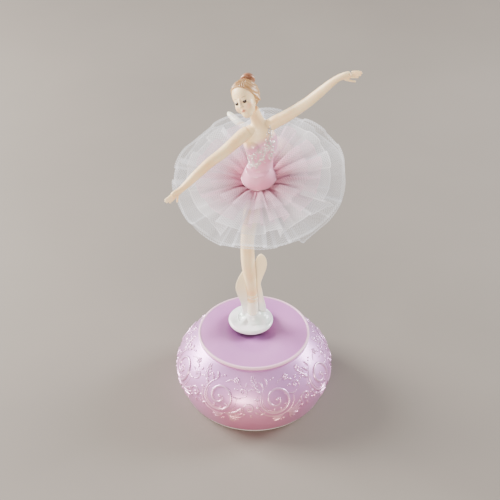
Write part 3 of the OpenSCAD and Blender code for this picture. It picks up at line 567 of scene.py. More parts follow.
# %% Loft the torso in its bodice
torso_rows = [
    (3.0, 7.3, 161, 8.6, 8.0), (3.3, 7.3, 165, 8.3, 7.2), (3.6, 7.2, 169, 7.5, 6.2),
    (3.8, 7.0, 174, 7.6, 6.0),
    (3.8, 6.6, 180, 9.0, 6.3), (3.6, 6.3, 185, 10.1, 6.5), (3.4, 6.3, 190, 9.6, 5.8),
    (3.2, 6.8, 194.4, 7.2, 4.7),
    (2.5, 7.1, 197.6, 4.9, 4.1), (1.8, 6.9, 200.4, 3.9, 3.8), (0.8, 6.2, 203.6, 3.5, 3.6),
    (-0.4, 5.4, 207, 3.5, 3.6),
    (-1.2, 5.0, 209.2, 3.6, 3.7),
]
basque_profile = (
    (7.5, 0.1), (9.6, 0.1), (10.1, 0.35), (10.25, 0.8), (10.15, 1.3),
    (9.9, 2.2), (9.5, 3.6), (9.0, 5.2), (8.3, 7.2), (7.4, 9.4),
)
basque = skin("basque", [hip_ring(r, z) for r, z in basque_profile])
torso = melted(
    "torso",
    [
        limb("trunk", torso_rows, count=32),
        basque,
        ball("bust_right", (-0.6, 1.9, 185.6), (4.3, 3.5, 4.0), (0, 0, -10)),
        ball("bust_left", (7.9, 2.9, 186.4), (4.3, 3.5, 4.0), (0, 0, 10)),
        limb("yoke_right", [(2.6, 7.2, 196.2, 3.0, 3.0), (-1.4, 5.6, 194.9, 3.3, 3.3),
            (-5.0, 3.8, 193.4, 3.5, 3.5), (-6.4, 3.0, 192.9, 3.2, 3.2)]),
        limb("yoke_left", [(3.4, 7.4, 196.4, 3.0, 3.0), (7.6, 8.2, 196.7, 3.2, 3.2),
            (11.6, 8.9, 197.6, 3.3, 3.3), (12.8, 9, 198.3, 2.9, 2.9)]),
        limb("blade", [(3.6, 10.4, 181, 5.2, 2.2), (3.7, 10.6, 187, 6.8, 2.4), (3.4, 10.2, 192, 6.6, 2.2)]),
    ],
    voxel=0.34,
    smooth=9,
)
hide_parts("upper_body")
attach(torso, "dancer")
print("torso faces:", len(torso.data.polygons))


# %% Arms down to the fingertips
def finger(name, points, radius=0.9):
    rows = [(*p, radius * (1 - 0.14 * i), radius * (1 - 0.14 * i)) for i, p in enumerate(points)]
    rows.append((*(np.array(points[-1]) * 1.12 - np.array(points[-2]) * 0.12), radius * 0.3, radius * 0.3))
    return limb(name, rows, side=(0, 1, 0.3), count=12, steps=4)


right_rows = [
    (-3.6, 4.6, 194.4, 3.63, 3.74), (-6.6, 3.0, 192.8, 3.96, 3.96), (-11.8, -0.6, 189.8, 3.63, 3.63),
    (-18.7, -4.8, 185.4, 3.19, 3.3),
    (-25.6, -9, 182, 2.97, 3.03), (-29, -11.3, 179.8, 2.92, 2.92), (-33.6, -14.4, 176.8, 2.7, 2.7),
    (-38, -17.4, 173.5, 2.31, 2.31),
    (-41.4, -19.4, 171.1, 1.93, 1.87), (-43.4, -20.5, 169.8, 2.1, 1.8), (-45.6, -21.5, 168.6, 2.6, 1.6),
    (-47.2, -22.2, 167.7, 2.4, 1.4),
]
left_rows = [
    (8.6, 8.4, 195.8, 3.41, 3.52), (12.4, 8.9, 198.4, 3.74, 3.74), (17.1, 8.6, 201.4, 3.63, 3.63),
    (23.9, 7.6, 207, 3.3, 3.3),
    (30.6, 6.6, 213.1, 3.03, 3.08), (34, 6.2, 216.6, 2.92, 2.92), (38.5, 5.6, 221.4, 2.7, 2.7),
    (43, 5, 226.3, 2.31, 2.31),
    (46.6, 4.6, 229.6, 1.98, 1.93), (48.6, 4.4, 230.9, 2.2, 1.8), (51.4, 4, 232, 3.0, 1.6),
    (53.8, 3.6, 233, 2.9, 1.4),
]
right_fingers = [
    [(-46.4, -21.4, 168.9), (-49, -22.6, 167.4), (-51.3, -23.5, 165.9)],
    [(-46.6, -21.9, 168.2), (-49.2, -23.1, 166.5), (-51.4, -23.9, 165)],
    [(-46.2, -22.3, 167.5), (-48.6, -23.4, 165.8), (-50.5, -24.1, 164.4)],
    [(-45.6, -22.5, 166.9), (-47.4, -23.5, 165.3), (-48.8, -24.1, 164.1)],
    [(-43.6, -20.8, 168.9), (-44.2, -21.6, 166.2), (-44.5, -22.4, 163.6)],
]
left_fingers = [
    [(54.4, 3.9, 234.3), (57.2, 3.2, 235.1), (59.7, 2.5, 235.3)],
    [(54.6, 3.4, 233.5), (57.4, 2.7, 234.3), (60.0, 2.0, 234.5)],
    [(54.4, 2.9, 232.7), (57.0, 2.1, 233.4), (59.3, 1.4, 233.6)],
    [(54.0, 2.5, 231.9), (56.2, 1.6, 232.4), (58.0, 1.0, 232.6)],
    [(50.8, 3.4, 230.0), (53.6, 2.6, 229.5), (56.6, 1.8, 229.5)],
]
arms = {}
for side_name, rows, fingers in (("right", right_rows, right_fingers), ("left", left_rows, left_fingers)):
    parts = [limb("arm", rows, side=(0, 1, 0.5))]
    parts += [finger(f"finger_{k}", f, 0.66 if k < 4 else 0.72) for k, f in enumerate(fingers)]
    arm = melted(f"{side_name}_arm_casting", parts, voxel=0.22, smooth=5)
    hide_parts(f"{side_name}_arm")
    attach(arm, "dancer")
    arms[side_name] = arm

# %% [markdown]
# ## The head
# A doll's head has to read at a glance: an egg-shaped skull, a small face with soft sockets, nose,
# lips and chin. The form is built from simple solids blended smoothly, and each point of a fine
# sphere is slid along its ray until it meets that blend. Hair is a second skin over the same form.

# %% Describe the head as a smooth blend of solids
def blend(a, b, k):
    h = np.clip(0.5 + 0.5 * (b - a) / k, 0, 1)
    return b + (a - b) * h - k * h * (1 - h)


def ellipsoid(p, centre, radii):
    q = (p - np.array(centre)) / np.array(radii)
    length = np.linalg.norm(q, axis=1)
    return (length - 1) * np.min(radii) * 0.5 + (length - 1) * length * np.min(radii) * 0.5


def capsule(p, a, b, ra, rb):
    a, b = np.array(a, float), np.array(b, float)
    t = np.clip((p - a) @ (b - a) / ((b - a) @ (b - a)), 0, 1)
    return np.linalg.norm(p - a - t[:, None] * (b - a), axis=1) - (ra + (rb - ra) * t)


def head_distance(p):
    d = ellipsoid(p, (0, 1.4, 1.6), (7.3, 8.6, 8.1))
    d = blend(d, ellipsoid(p, (0, -2.4, -3.6), (5.1, 5.3, 6.9)), 2.0)
    d = blend(d, ellipsoid(p, (0, -5.0, -9.0), (2.1, 2.0, 1.9)), 2.2)
    mirrored = np.abs(p[:, :1])
    q = np.concatenate([mirrored, p[:, 1:]], 1)
    d = blend(d, ellipsoid(q, (3.3, -4.6, -4.2), (2.2, 2.2, 2.6)), 1.6)
    d = -blend(-d, ellipsoid(q, (2.75, -8.9, -1.3), (2.0, 1.7, 1.25)), 1.3)
    d = blend(d, ellipsoid(q, (2.7, -6.1, -1.35), (1.35, 1.25, 0.95)), 0.4)
    d = blend(d, capsule(p, (0, -7.4, 0.2), (0, -8.9, -3.6), 0.55, 0.85), 0.9)
    d = blend(d, ellipsoid(q, (0.75, -8.2, -3.9), (0.6, 0.7, 0.5)), 0.5)
    d = blend(d, capsule(q, (0, -7.7, -5.9), (1.35, -7.1, -6.15), 0.42, 0.2), 0.45)
    d = blend(d, capsule(q, (0, -7.6, -6.75), (1.1, -7.15, -6.6), 0.5, 0.25), 0.45)
    d = blend(d, ellipsoid(q, (6.6, 1.3, -2.4), (0.8, 1.5, 2.1)), 0.6)
    return d


def slide_to_surface(directions, distance, centre=(0, 0, -1), reach=16.0, steps=90):
    centre = np.array(centre, float)
    length = np.full(len(directions), reach)
    for _ in range(steps):
        length -= 0.7 * distance(centre + directions * length[:, None])
    return centre + directions * length[:, None]


sphere = bmesh.new()
bmesh.ops.create_icosphere(sphere, subdivisions=7, radius=1)
directions = np.array([v.co[:] for v in sphere.verts])
sphere_faces = [tuple(v.index for v in f.verts) for f in sphere.faces]
sphere.free()
head_local = slide_to_surface(directions, head_distance)
print("head is", np.ptp(head_local, axis=0).round(1), "mm wide, deep and tall")

# %% Turn and bow the head
HEAD_AT = np.array([-5.3, 6.0, 216.4])
HEAD_TURN = np.array(
    (
        Matrix.Rotation(math.radians(-17.4), 3, "Z")
        @ Matrix.Rotation(math.radians(-30), 3, "Y")
        @ Matrix.Rotation(math.radians(-17.9), 3, "X")
    )
)


def to_head(points):
    return np.asarray(points, float) @ HEAD_TURN.T + HEAD_AT


head_casting = piece_from("head_casting", to_head(head_local), sphere_faces)
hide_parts("head")
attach(head_casting, "dancer")


# %% Paint masks for the face, stored point by point
def paint(piece, name, values):
    layer = piece.data.attributes.new(name, "FLOAT", "POINT")
    layer.data.foreach_set("value", np.clip(values, 0, 1).astype(np.float32))


def soft_spot(p, centre, radii, edge=0.25):
    q = (p - np.array(centre)) / np.array(radii)
    return np.clip((1 - np.linalg.norm(q, axis=1)) / edge, 0, 1)


face = head_local
front = (face[:, 1] < 0).astype(float)
mirror = np.concatenate([np.abs(face[:, :1]), face[:, 1:]], 1)
eye = soft_spot(mirror, (2.7, -7.6, -1.5), (1.45, 2.6, 1.1), 0.2)
lash = soft_spot(mirror - np.array([0, 0, 1]) * (-0.1 * (mirror[:, :1] - 2.7) ** 2), (2.8, -7.4, -0.85),
    (1.7, 2.6, 0.34), 0.4)
arch = np.stack([mirror[:, 0], mirror[:, 1], mirror[:, 2] + 0.13 * (mirror[:, 0] - 3.0) ** 2], 1)
brow = soft_spot(arch, (3.0, -7.4, 1.25), (1.9, 3, 0.36), 0.5)
lips = soft_spot(mirror, (0, -7.9, -6.3), (1.6, 1.8, 0.85), 0.3)
cheek = soft_spot(mirror, (3.8, -5.4, -4.4), (2.8, 3.4, 2.4), 1.0)
paint(head_casting, "dark_paint", np.maximum(eye, lash) * front)
paint(head_casting, "brow_paint", brow * front * 0.6)
paint(head_casting, "lip_paint", lips * front)
paint(head_casting, "blush_paint", cheek * front)

# %% Comb the hair back into a bun
BUN = np.array([1.5, 7.6, 8.5])
hair_side = face @ np.array([0, 0.856, 0.517])
wave = 0.35 * np.sin(face[:, 0] * 1.1) + 0.25 * np.sin(face[:, 0] * 2.7 + 1)
behind_hairline = hair_side + 0.55 + 0.17 * face[:, 0] - 0.25 * wave
above_nape = face[:, 2] + 6.2
cover = 1 / (1 + np.exp(-behind_hairline / 0.14)) / (1 + np.exp(-above_nape / 0.25))
to_bun = face - BUN
spin = np.arctan2(to_bun[:, 0], to_bun[:, 2] + 0.4 * to_bun[:, 1])
far = np.linalg.norm(to_bun, axis=1)
strand = np.sin(46 * spin + 0.9 * np.sin(0.8 * far)) + 0.6 * np.sin(83 * spin + 1.3)
hair_local = face + directions * (-0.55 + cover * (1.25 + 0.16 * strand))[:, None]
hair_cap = piece_from("hair_cap", to_head(hair_local), sphere_faces)

# %% Coil the bun
bun_turn = np.linspace(0, 1, 260)
coil_angle = bun_turn * 2 * np.pi * 3.3
coil_radius = 3.5 * (1 - bun_turn) ** 0.75 + 0.25
coil_height = -0.4 + 3.1 * bun_turn**0.9
bun_axis = np.array([0.0, 0.80, 0.60])
across_a = np.cross(bun_axis, [1, 0, 0])
across_a /= np.linalg.norm(across_a)
across_b = np.cross(bun_axis, across_a)
coil = (
    BUN
    + across_a * (coil_radius * np.cos(coil_angle))[:, None]
    + across_b * (coil_radius * np.sin(coil_angle))[:, None]
    + bun_axis * coil_height[:, None]
)
coil_rows = np.column_stack([to_head(coil), 1.35 * np.sin(np.pi * np.clip(bun_turn, 0.06, 0.93)) ** 0.35,
    1.25 * np.ones(260)])[::4]
bun_middle = to_head([BUN + bun_axis * 0.7])[0]
bun = melted(
    "hair_bun",
    [limb("coil", coil_rows, side=HEAD_TURN @ bun_axis, steps=3, count=14),
        ball("bun_core", bun_middle, (3.9, 3.9, 3.6))],
    voxel=0.22,
    smooth=2,
)
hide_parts("hair")
for piece in (hair_cap, bun):
    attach(piece, "dancer")

# %% [markdown]
# ## The tulle
# The skirt is stacked rings of fine net, cut wide and pulled in at the waist. Net that is gathered
# folds over itself: near the band the folds are many and tight, and they merge into fewer, wider
# folds at the hem. Each sheet is a polar grid whose points are pushed up and down and also sideways,
# so that folds overlap and catch the light the way doubled net does.

# %% Gather one sheet of net
def gathered(name, seed, inner, outer, root, hem, folds, lift, lap, shift=(0, 0), tips=(), around=1080,
    rows=30):
    """lap says how far a fold doubles back over itself: 0.5 stands it upright, 1 lays it well over"""
    rng = random.Random(seed)
    theta = np.linspace(0, 2 * np.pi, around, endpoint=False)

    def drift(orders):
        waves = [rng.uniform(0.5, 1) * np.sin(k * theta + rng.uniform(0, 6.28)) for k in orders]
        return sum(waves) / len(orders) ** 0.5

    phase = folds * theta + 1.1 * drift((2, 3, 5, 7))
    strength = np.clip(0.75 + 0.6 * drift((3, 4, 6, 9)), 0.2, 1.5)
    sway = drift((2, 3, 4))
    crimp = drift((folds * 3 - 1, folds * 3 + 2, folds * 4))
    hem_line = outer * (1 + 0.014 * drift((5, 7, 8)) + 0.008 * np.sin(phase))
    for angle, reach, width in tips:
        gap = (np.degrees(theta) - angle + 180) % 360 - 180
        hem_line = hem_line + reach * np.exp(-np.abs(gap) / width)
        strength = strength + 0.6 * np.exp(-np.abs(gap) / (3 * width))
    points, depth = [], []
    for j in range(rows):
        t = j / (rows - 1)
        r = inner + (hem_line - inner) * t
        settle = min(1.0, 3 * t + 0.12)
        spread = 0.45 + 0.75 * t**0.6 - 0.25 * t**2
        height = root + (hem - root) * t**0.8 + lift * spread * strength * settle * np.sin(phase)
        height += 0.22 * lift * (1 - t) * settle * crimp + 0.5 * lift * t * sway
        a = theta - lap * strength * settle * (1 - 0.3 * t) * np.sin(2 * phase) / folds
        points.append(np.stack([r * np.cos(a) + shift[0] * t, r * np.sin(a) + shift[1] * t, height], 1))
        depth.append(t * (outer - inner))
    sheet = piece_from(name, from_hips(np.concatenate(points)), ring_faces(rows, around))
    layer = sheet.data.uv_layers.new(name="net")
    flat = np.zeros((len(sheet.data.loops), 2))
    corner = 0
    for j in range(rows - 1):
        for i in range(around):
            for k, m in ((i, j), (i + 1, j), (i + 1, j + 1), (i, j + 1)):
                flat[corner] = 2 * math.pi * outer * k / around, depth[m]
                corner += 1
    layer.data.foreach_set("uv", flat.ravel())
    width = (outer - inner) * MM
    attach(sheet, "dancer")
    return sheet


# %% Stack the sheets from the longest to the shortest
net_sheets = {}
net_sheets["long_net_under"] = gathered(
    "long_net_under", 3, 9.0, 50.8, -4.6, -2.2, 9, 1.4, 0.8, (0.4, 0), tips=((-60, 3, 5), (-112, 1.5, 6))
)
net_sheets["long_net_top"] = gathered(
    "long_net_top", 11, 9.0, 51.6, -3.7, 1.2, 10, 1.6, 0.9, (0.4, 0), tips=((-92, 1.5, 5), (-150, 1, 6))
)
net_sheets["middle_net"] = gathered(
    "middle_net", 21, 9.0, 43.0, -2.8, 3.6, 12, 2.0, 1.25, (0.2, 0),
    tips=((-36, 7, 2), (-72, 5, 2), (-126, 6, 2))
)
net_sheets["pink_net_under"] = gathered(
    "pink_net_under", 31, 9.0, 37.5, -1.6, 5.2, 14, 2.4, 1.3, (0, 0), tips=((-55, 4, 3), (-100, 4, 3))
)
net_sheets["pink_net_top"] = gathered(
    "pink_net_top", 43, 9.0, 29.0, -0.8, 6.4, 15, 2.4, 1.3, (0, 0), tips=((-15, 5, 4), (-150, 4, 4))
)
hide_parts("long_tulle_skirt")
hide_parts("middle_tulle_skirt")
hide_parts("pink_tulle_skirt")

# %% Gather the waistband
count = 240
turn = np.linspace(0, 2 * np.pi, count, endpoint=False)
pleat = 0.22 * np.sin(52 * turn) + 0.1 * np.sin(31 * turn + 1)
band_rings = []
for r, z, k in ((7.9, -4.9, 0), (8.9, -5.0, 0.6), (9.3, -4.2, 1), (9.4, -2.6, 1), (9.3, -1.0, 1),
    (8.9, -0.3, 0.6), (7.9, -0.35, 0)):
    rr = r + k * pleat
    band_rings.append(from_hips(np.stack([rr * np.cos(turn), rr * np.sin(turn), np.full(count, z)], 1)))
points = np.concatenate(band_rings)
waistband = piece_from("gathered_waistband", points, ring_faces(len(band_rings), count, close_up=True))
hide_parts("tulle_waistband")
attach(waistband, "dancer")

# %% [markdown]
# ## Lace on the bodice
# Raised silver-white lace runs along the neckline and up over one shoulder. Each sprig is a short
# tapering curl drawn in the flat and dropped onto the torso with rays, so it hugs the bust.

# %% Drop curls and beads onto the torso
torso_tree = BVHTree.FromObject(torso, bpy.context.evaluated_depsgraph_get())


def on_torso(x, z):
    """The point of the torso straight behind (x, z), seen from the front"""
    hit, normal, _, _ = torso_tree.ray_cast(Vector((x, -30, z)) * MM, Vector((0, 1, 0)))
    if hit is None:
        return None
    return np.array(hit / MM), np.array(normal)


def lace_stroke(line, width, points, faces):
    placed = [on_torso(x, z) for x, z in line]
    placed = [p for p in placed if p is not None and p[1][1] < -0.15]
    if len(placed) < 4:
        return
    first, count = len(points), 6
    for i, (p, n) in enumerate(placed):
        t = placed[min(i + 1, len(placed) - 1)][0] - placed[max(i - 1, 0)][0]
        t /= max(np.linalg.norm(t), 1e-6)
        side = np.cross(n, t)
        size = width * math.sin(math.pi * (0.06 + 0.88 * i / (len(placed) - 1))) ** 0.6
        for a in np.linspace(0, 2 * np.pi, count, endpoint=False):
            points.append(p + side * math.cos(a) * size + n * (math.sin(a) * size * 0.8 + 0.08))
    faces += [tuple(first + k for k in f) for f in ring_faces(len(placed), count)]


def lace_bead(x, z, size, points, faces):
    placed = on_torso(x, z)
    if placed is None:
        return
    p, n = placed
    first = len(points)
    e1 = np.cross(n, [0, 0, 1.0])
    e1 /= np.linalg.norm(e1)
    e2 = np.cross(n, e1)
    for j in range(4):
        tilt = j / 3 * math.pi / 2
        for a in np.linspace(0, 2 * np.pi, 8, endpoint=False):
            flat = (e1 * math.cos(a) + e2 * math.sin(a)) * size * (math.cos(tilt) + 0.02)
            points.append(p + flat + n * size * 0.9 * math.sin(tilt))
    faces += [tuple(first + q for q in f) for f in ring_faces(4, 8)]


lace_points, lace_faces = [], []
trail = smooth_rows(
    [(-5.2, 0, 173.4), (-1.8, 0, 172.8), (1.8, 0, 173.4), (4.2, 0, 176.8), (5.2, 0, 180.8), (6.4, 0, 184.8),
        (7.6, 0, 188.6), (8.6, 0, 192.4), (9.2, 0, 195.6)], 3
)
side_trail = smooth_rows([(8.8, 0, 177.6), (10.2, 0, 181.4), (10.8, 0, 185.4), (10.6, 0, 189.2)], 3)
rng = random.Random(5)
inner_trail = smooth_rows([(-1.8, 0, 177.4), (1.0, 0, 181.0), (3.4, 0, 184.6)], 3)
stops = [p for k, p in enumerate(trail) if k % 3 != 1] + list(side_trail[::2]) + list(inner_trail[::2])
for k, (x, _, z) in enumerate(stops):
    turn_way = 1 if k % 2 else -1
    radius = rng.uniform(1.5, 2.1)
    cx, cz = x + rng.uniform(-0.5, 0.5), z + rng.uniform(-0.5, 0.5)
    a = np.radians(rng.uniform(0, 360) + np.linspace(0, turn_way * 330, 22))
    r = np.linspace(radius, 0.5, 22)
    lace_stroke(list(zip(cx + r * np.cos(a), cz + r * np.sin(a))), 0.38, lace_points, lace_faces)
    lean, length = rng.uniform(-1.2, 1.2), rng.uniform(2.4, 3.8) * rng.choice((-1, 1))
    t = np.linspace(0, 1, 10)
    lace_stroke(list(zip(x + lean * t + 0.5 * np.sin(3 * t), z + length * t)), 0.34, lace_points, lace_faces)
    for _ in range(2):
        lace_bead(x + rng.uniform(-2.2, 2.2), z + rng.uniform(-2.2, 2.2), rng.uniform(0.3, 0.5), lace_points,
            lace_faces)
for k in range(7):
    x = -5.2 + 0.75 * k
    t = np.linspace(0, 1, 16)
    lace_stroke(list(zip(x + 0.5 * np.sin(4 * t + k), 174.6 + (7.4 - 0.4 * k) * t)), 0.2, lace_points,
        lace_faces)
lace = piece_from("bodice_lace", lace_points, lace_faces)
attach(lace, "dancer")

# %% Edge the basque with a thin raised rim
rim_rows = []
for i in range(97):
    a = 2 * math.pi * i / 96
    p = from_hips([[10.28 * math.cos(a), 0.94 * 10.28 * math.sin(a), 0.55]])[0]
    rim_rows.append((*p, 0.26, 0.26))
rim = limb("basque_rim", rim_rows, side=HIP_TURN @ Vector((0, 0, 1)), steps=1, count=8)
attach(rim, "dancer")

# %% [markdown]
# ## Shared finishes
# Some effects come back on several materials, so each is a node group with named sockets: cloudy
# pigment, brushed grain in a metal, and the net of the tulle. A group gives out only colours, masks,
# roughness and heights. The shader itself stays in each material, where its plain numbers are set
# directly on its own sockets.

# %% Build a node group from a recipe
def new_group(name, inputs, outputs):
    group = bpy.data.node_groups.new(name, "ShaderNodeTree")
    for kind, label, value in inputs:
        socket = group.interface.new_socket(label, in_out="INPUT", socket_type=kind)
        socket.default_value = value
    for kind, label in outputs:
        group.interface.new_socket(label, in_out="OUTPUT", socket_type=kind)
    return group, group.nodes.new("NodeGroupInput"), group.nodes.new("NodeGroupOutput")


def node(tree, kind, **values):
    made = tree.nodes.new(kind)
    for key, value in values.items():
        if key.startswith("in_"):
            made.inputs[int(key[3:])].default_value = value
        else:
            setattr(made, key, value)
    return made


COLOUR, NUMBER, VECTOR = "NodeSocketColor", "NodeSocketFloat", "NodeSocketVector"

# %% Cloudy pigment
clouds, g_in, g_out = new_group(
    "cloudy_pigment",
    [(VECTOR, "Place", (0, 0, 0)), (NUMBER, "Size", 60.0), (COLOUR, "Pigment", (1, 1, 1, 1)),
        (COLOUR, "Second pigment", (1, 1, 1, 1)), (NUMBER, "Speckle", 0.1)],
    [(COLOUR, "Colour"), (NUMBER, "Mottle"), (NUMBER, "Grain")],
)
broad = node(clouds, "ShaderNodeTexNoise")
broad.inputs["Detail"].default_value = 4
fine = node(clouds, "ShaderNodeTexNoise")
fine.inputs["Detail"].default_value = 3
fine_size = node(clouds, "ShaderNodeMath", operation="MULTIPLY", in_1=22.0)
spread = node(clouds, "ShaderNodeMapRange", in_1=0.35, in_2=0.65)
mix = node(clouds, "ShaderNodeMix", data_type="RGBA")
speck = node(clouds, "ShaderNodeMapRange", in_1=0.3, in_2=0.7, in_3=-0.5, in_4=0.5)
amount = node(clouds, "ShaderNodeMath", operation="MULTIPLY")
total = node(clouds, "ShaderNodeMath", operation="ADD", use_clamp=True)
clouds.links.new(g_in.outputs["Place"], broad.inputs["Vector"])
clouds.links.new(g_in.outputs["Place"], fine.inputs["Vector"])
clouds.links.new(g_in.outputs["Size"], broad.inputs["Scale"])
clouds.links.new(g_in.outputs["Size"], fine_size.inputs[0])
clouds.links.new(fine_size.outputs[0], fine.inputs["Scale"])
clouds.links.new(broad.outputs[0], spread.inputs[0])
clouds.links.new(fine.outputs[0], speck.inputs[0])
clouds.links.new(speck.outputs[0], amount.inputs[0])
clouds.links.new(g_in.outputs["Speckle"], amount.inputs[1])
clouds.links.new(spread.outputs[0], total.inputs[0])
clouds.links.new(amount.outputs[0], total.inputs[1])
clouds.links.new(total.outputs[0], mix.inputs["Factor"])
clouds.links.new(g_in.outputs["Pigment"], mix.inputs[6])
clouds.links.new(g_in.outputs["Second pigment"], mix.inputs[7])
clouds.links.new(mix.outputs[2], g_out.inputs["Colour"])
clouds.links.new(total.outputs[0], g_out.inputs["Mottle"])
clouds.links.new(fine.outputs[0], g_out.inputs["Grain"])

# %% Brushed grain for metal
grain, g_in, g_out = new_group(
    "brushed_grain",
    [(VECTOR, "Place", (0, 0, 0)), (VECTOR, "Stretch", (1, 1, 1)), (NUMBER, "Size", 900.0),
        (NUMBER, "Low", 0.25), (NUMBER, "High", 0.5)],
    [(NUMBER, "Roughness"), (NUMBER, "Height"), (NUMBER, "Tarnish")],
)
scale = node(grain, "ShaderNodeVectorMath", operation="MULTIPLY")
lines = node(grain, "ShaderNodeTexNoise")
lines.inputs["Detail"].default_value = 4
patches = node(grain, "ShaderNodeTexNoise", in_2=130.0)
rough = node(grain, "ShaderNodeMapRange", in_1=0.3, in_2=0.7)
stain = node(grain, "ShaderNodeMapRange", in_1=0.45, in_2=0.75)
grain.links.new(g_in.outputs["Place"], scale.inputs[0])
grain.links.new(g_in.outputs["Stretch"], scale.inputs[1])
grain.links.new(scale.outputs[0], lines.inputs["Vector"])
grain.links.new(g_in.outputs["Size"], lines.inputs["Scale"])
grain.links.new(g_in.outputs["Place"], patches.inputs["Vector"])
grain.links.new(lines.outputs[0], rough.inputs[0])
grain.links.new(g_in.outputs["Low"], rough.inputs[3])
grain.links.new(g_in.outputs["High"], rough.inputs[4])
grain.links.new(patches.outputs[0], stain.inputs[0])
grain.links.new(rough.outputs[0], g_out.inputs["Roughness"])
grain.links.new(lines.outputs[0], g_out.inputs["Height"])
grain.links.new(stain.outputs[0], g_out.inputs["Tarnish"])

# %% Net of the tulle
net, g_in, g_out = new_group(
    "tulle_net",
    [(VECTOR, "Cloth", (0, 0, 0)), (NUMBER, "Threads per mm", 1.0), (NUMBER, "Thread", 0.7),
        (NUMBER, "Haze", 0.3)],
    [(NUMBER, "Cover"), (NUMBER, "Height")],
)
split = node(net, "ShaderNodeSeparateXYZ")
net.links.new(g_in.outputs["Cloth"], split.inputs[0])
parts = []
for sign in (1.0, -1.0):
    tilt = node(net, "ShaderNodeMath", operation="MULTIPLY_ADD", in_1=sign * 0.577)
    net.links.new(split.outputs[1], tilt.inputs[0])
    net.links.new(split.outputs[0], tilt.inputs[2])
    pitch = node(net, "ShaderNodeMath", operation="MULTIPLY")
    net.links.new(tilt.outputs[0], pitch.inputs[0])
    net.links.new(g_in.outputs["Threads per mm"], pitch.inputs[1])
    wave = node(net, "ShaderNodeMath", operation="PINGPONG", in_1=0.5)
    net.links.new(pitch.outputs[0], wave.inputs[0])
    parts.append(wave)
nearest = node(net, "ShaderNodeMath", operation="MAXIMUM")
thread = node(net, "ShaderNodeMapRange")
cover = node(net, "ShaderNodeMath", operation="MAXIMUM")
net.links.new(parts[0].outputs[0], nearest.inputs[0])
net.links.new(parts[1].outputs[0], nearest.inputs[1])
net.links.new(nearest.outputs[0], thread.inputs[0])
thread.inputs[1].default_value = 0.34
thread.inputs[2].default_value = 0.46
net.links.new(g_in.outputs["Thread"], thread.inputs[4])
net.links.new(thread.outputs[0], cover.inputs[0])
net.links.new(g_in.outputs["Haze"], cover.inputs[1])
net.links.new(cover.outputs[0], g_out.inputs["Cover"])
net.links.new(nearest.outputs[0], g_out.inputs["Height"])


# %% A fresh material with its shader and its place in the object
def new_material(name, **shader_values):
    material = bpy.data.materials.new(name)
    material.use_nodes = True
    tree = material.node_tree
    shader = tree.nodes["Principled BSDF"]
    for key, value in shader_values.items():
        shader.inputs[key.replace("_", " ")].default_value = value
    place = tree.nodes.new("ShaderNodeTexCoord")
    return material, tree, shader, place


def use_group(tree, group, place=None, **values):
    made = tree.nodes.new("ShaderNodeGroup")
    made.node_tree = group
    for key, value in values.items():
        made.inputs[key.replace("_", " ")].default_value = value
    if place is not None:
        tree.links.new(place, made.inputs[0])
    return made


def bump(tree, shader, height, distance, strength=0.3):
    made = tree.nodes.new("ShaderNodeBump")
    made.inputs["Strength"].default_value = strength
    made.inputs["Distance"].default_value = distance
    tree.links.new(height, made.inputs["Height"])
    tree.links.new(made.outputs[0], shader.inputs["Normal"])


def wear(piece, material):
    piece.data.materials.clear()
    piece.data.materials.append(material)


# %% [markdown]
# ## Pearl lacquer
# The base is sprayed: mauve-pink near the foot, paler and more pearly on the shoulder, with a clear
# gloss coat on top. Height above the table drives the fade, and cloudy pigment breaks it up. The
# left and right sides turn lilac while the front and back stay pinker, a painted reflection of the
# warm light on the front. The scrollwork gets a paler mix of the same paint, a painted highlight on
# its raised strokes.

# %% Fade helper
def height_fade(tree, place, low, high, to_low=0.0, to_high=1.0):
    split = tree.nodes.new("ShaderNodeSeparateXYZ")
    tree.links.new(place.outputs["Object"], split.inputs[0])
    fade = node(tree, "ShaderNodeMapRange", in_1=low, in_2=high, in_3=to_low, in_4=to_high)
    fade.interpolation_type = "SMOOTHSTEP"
    tree.links.new(split.outputs[2], fade.inputs[0])
    return fade.outputs[0], split


def mix_colours(tree, factor, a, b, blend_type="MIX"):
    mix = node(tree, "ShaderNodeMix", data_type="RGBA", blend_type=blend_type)
    for socket, value in ((mix.inputs[0], factor), (mix.inputs[6], a), (mix.inputs[7], b)):
        if isinstance(value, (int, float, tuple)):
            socket.default_value = value
        else:
            tree.links.new(value, socket)
    return mix.outputs[2]


def pearl_lacquer(name, low, high, top, rough):
    material, tree, shader, place = new_material(name, Coat_Weight=0.6, Coat_Roughness=0.2, Metallic=0.45)
    mauve = use_group(tree, clouds, place.outputs["Object"], Size=45.0, Pigment=low, Second_pigment=high,
        Speckle=0.12)
    fade, split = height_fade(tree, place, 0.015, 0.038)
    # The left and right sides turn lilac and the front and back stay pinker: a painted reflection of the warm
    # light on the front.
    aside = node(tree, "ShaderNodeMath", operation="ABSOLUTE")
    tree.links.new(split.outputs[0], aside.inputs[0])
    around = node(tree, "ShaderNodeMapRange", in_1=0.012, in_2=0.05, in_3=0.0, in_4=0.7)
    tree.links.new(aside.outputs[0], around.inputs[0])
    lilac_sides_front_reflection = mix_colours(tree, around.outputs[0], mauve.outputs["Colour"], (0.54, 0.24, 0.56, 1))
    colour = mix_colours(tree, fade, lilac_sides_front_reflection, top)
    tree.links.new(colour, shader.inputs["Base Color"])
    spread = node(tree, "ShaderNodeMapRange", in_3=rough - 0.06, in_4=rough + 0.08)
    tree.links.new(mauve.outputs["Mottle"], spread.inputs[0])
    tree.links.new(spread.outputs[0], shader.inputs["Roughness"])
    bump(tree, shader, mauve.outputs["Grain"], 0.00004, 0.25)
    return material


base_paint = pearl_lacquer("pearl_base_paint", (0.62, 0.20, 0.35, 1), (0.68, 0.26, 0.42, 1),
    (0.66, 0.31, 0.67, 1), 0.36)
